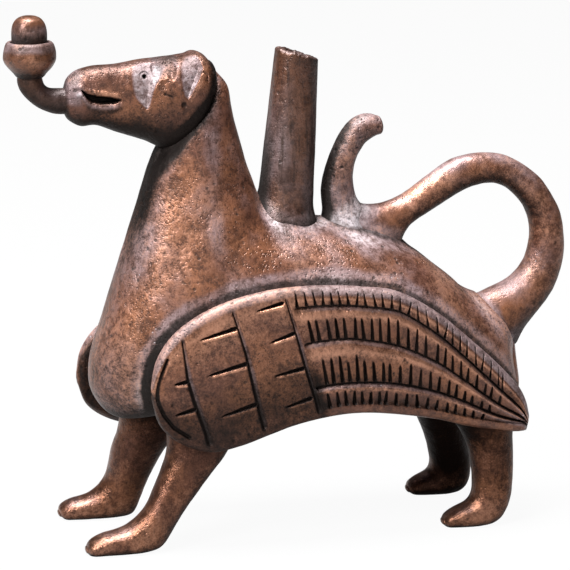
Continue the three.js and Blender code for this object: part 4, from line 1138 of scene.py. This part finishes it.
def make_cup():
    """The cup, up its outside and over its rim to the seat of the kernel."""
    def z(share):
        return CUP_FOOT + share * CUP_HEIGHT

    grid = turned([
        [0.4, z(0)], [CUP_FOOT_RADIUS - 0.6, z(0.01)], [CUP_FOOT_RADIUS + 1, z(0.15)],
        [CUP_RADIUS - 1.1, z(0.32)], [CUP_RADIUS - 0.1, z(0.48)], [CUP_RADIUS, z(0.62)],
        [CUP_RADIUS - 0.2, z(0.79)], [CUP_RADIUS - 0.7, z(0.93)], [CUP_RADIUS - 1.5, z(0.99)],
        [KERNEL_RADIUS + 0.5, z(0.97)], [KERNEL_RADIUS + 0.2, z(0.85)],
        [KERNEL_RADIUS, KERNEL_FOOT + 0.4], [0.4, KERNEL_FOOT],
    ], 170, 150)
    high = grid[..., 2]
    past_rim = np.arange(len(grid))[:, None] > CUP_RIM_RING
    low = smooth(CUP_FOOT + 5, CUP_FOOT, high)
    # Painted shade inside the cup past the rim, and darker towards the foot
    patina_and_painted_shade = np.clip(past_rim + 0.9 * low, 0, 1)
    wear_and_painted_highlight = np.clip(0.3 - low + 0.35 * lumps(grid, 7, 71), 0, 1)
    rim = smooth(CUP_FOOT + 7, CUP_FOOT + 9.5, high)
    lilac_patina_and_painted_sheen = np.clip(rim + 0.3 * lumps(grid, 8, 73), 0, 1)
    add_piece("bud_cup", grid, grid[0].mean(0), grid[-1].mean(0), BUD_CAST,
              patina_and_painted_shade, wear_and_painted_highlight, lilac_patina_and_painted_sheen)


def make_kernel():
    """The kernel from its seat in the cup to its rounded top. The shape's points are shares of its
    radius and of its height."""
    shape = ((0.08, 0.0), (0.9, 0.0), (1, 0.16), (1.02, 0.45), (1, 0.62), (0.9, 0.79), (0.7, 0.91),
             (0.38, 0.98), (0.06, 1.0))
    height = KERNEL_TOP - KERNEL_FOOT
    profile = [[KERNEL_RADIUS * radius, KERNEL_FOOT + share * height] for radius, share in shape]
    grid = turned(profile, 130, 130)
    z = grid[..., 2]
    # A painted shadow round the kernel's foot where it sits in the cup
    patina_and_painted_shade = np.clip(0.75 * smooth(CUP_TOP + 5, CUP_TOP + 0.5, z), 0, 1)
    wear_and_painted_highlight = np.clip(0.05 + 0.25 * smooth(CUP_TOP + 3, KERNEL_TOP, z)
                   + 0.25 * lumps(grid, 7, 72), 0, 1)
    lilac_patina_and_painted_sheen = np.clip(0.8 * smooth(CUP_TOP + 7, CUP_TOP + 3, z) + 0.5 * lumps(grid, 8, 74), 0, 1.3)
    add_piece("bud_kernel", grid, grid[0].mean(0), grid[-1].mean(0), BUD_CAST,
              patina_and_painted_shade, wear_and_painted_highlight, lilac_patina_and_painted_sheen)


# Floor, light and camera, in metres
MIDDLE = (0, 0, 0.08)
FLOOR_GREY = 0.35
ROOM_GREY = 0.07
AZIMUTH, ELEVATION, DISTANCE = -13.5, 12.5, 0.9
TARGET = Vector((-0.00205, 0, 0.0776))
PICTURE_PIXELS = 570
PIXEL = 0.000315
SENSOR = 36


def make_floor():
    """A pale floor that the camera sees as nearly white, with the object's shadow on it."""
    s = Shader("pale_floor")
    path = s.node("ShaderNodeLightPath", {})
    seen = (s.output(path, "Is Camera Ray") * 0.95
            + (s.output(path, "Is Glossy Ray") + s.output(path, "Is Transmission Ray")) * 0.2)
    lit = s.node("ShaderNodeBsdfDiffuse", {}, Color=(FLOOR_GREY, FLOOR_GREY, FLOOR_GREY, 1))
    white = s.node("ShaderNodeEmission", {}, Color=(1, 1, 1, 1), Strength=1.0)
    mix = s.node("ShaderNodeMixShader", {}, seen, s.output(lit), s.output(white))
    mesh = bpy.data.meshes.new("floor")
    mesh.from_pydata([(-4, -4, 0), (4, -4, 0), (4, 6, 0), (-4, 6, 0)], [], [(0, 1, 2, 3)])
    mesh.materials.append(s.finish(mix))
    floor = bpy.data.objects.new("floor", mesh)
    bpy.context.scene.collection.objects.link(floor)


def add_aimed(name, data, place, target):
    """A lamp or camera at a place, turned to look at the target."""
    thing = bpy.data.objects.new(name, data)
    thing.location = place
    thing.rotation_euler = (Vector(target) - thing.location).to_track_quat("-Z", "Y").to_euler()
    bpy.context.scene.collection.objects.link(thing)
    return thing


def add_lamp(name, place, size, watts):
    """A round lamp that lights the middle of the object."""
    lamp = bpy.data.lights.new(name, "AREA")
    lamp.shape = "DISK"
    lamp.size = size
    lamp.energy = watts
    add_aimed(name, lamp, place, MIDDLE)


def add_room_light():
    """Dim grey light from all round."""
    world = bpy.data.worlds.new("room")
    bpy.context.scene.world = world
    world.use_nodes = True
    color = world.node_tree.nodes["Background"].inputs["Color"]
    color.default_value = (ROOM_GREY, ROOM_GREY, ROOM_GREY, 1)


def add_camera():
    """The photograph's view: the azimuth turns it to the left of the side view."""
    camera = bpy.data.cameras.new("camera")
    camera.sensor_width = SENSOR
    camera.lens = SENSOR * DISTANCE / (PICTURE_PIXELS * PIXEL)
    azimuth, elevation = math.radians(AZIMUTH), math.radians(ELEVATION)
    away = Vector((math.sin(azimuth) * math.cos(elevation),
                   -math.cos(azimuth) * math.cos(elevation), math.sin(elevation)))
    bpy.context.scene.camera = add_aimed("camera", camera, TARGET + DISTANCE * away, TARGET)


make_body()
make_head()
make_wing(-1)
make_wing(1)
for leg in LEGS:
    make_leg(*leg)
make_shaft()
make_rod("tail_loop", TAIL, 260, 0.5, TAIL_CAST,
         shade=0.85, painted_side_shade=0, pitted=18,
         joins=[(over_back, 5), (lambda points: tube_distance(points, CURL[:4]), 4)])
make_rod("tail_curl", CURL, 180, 1.4, CURL_CAST,
         shade=0.6, painted_side_shade=0.9, pitted=40,
         joins=[(over_back, 5), (lambda points: tube_distance(points, TAIL_ON_BACK), 4)])
make_rod("mouth_stem", STEM, 140, 0, STEM_CAST,
         shade=0.8, painted_side_shade=0, pitted=6, joins=[])
make_cup()
make_kernel()
make_floor()
add_lamp("key", (-0.85, -0.6, 0.9), 0.4, 23)
add_lamp("top", (-0.2, 0.0, 1.1), 0.6, 40)
add_lamp("front", (-0.1, -1.2, 0.4), 0.6, 2)
add_room_light()
add_camera()
bpy.context.scene.view_settings.view_transform = "Standard"
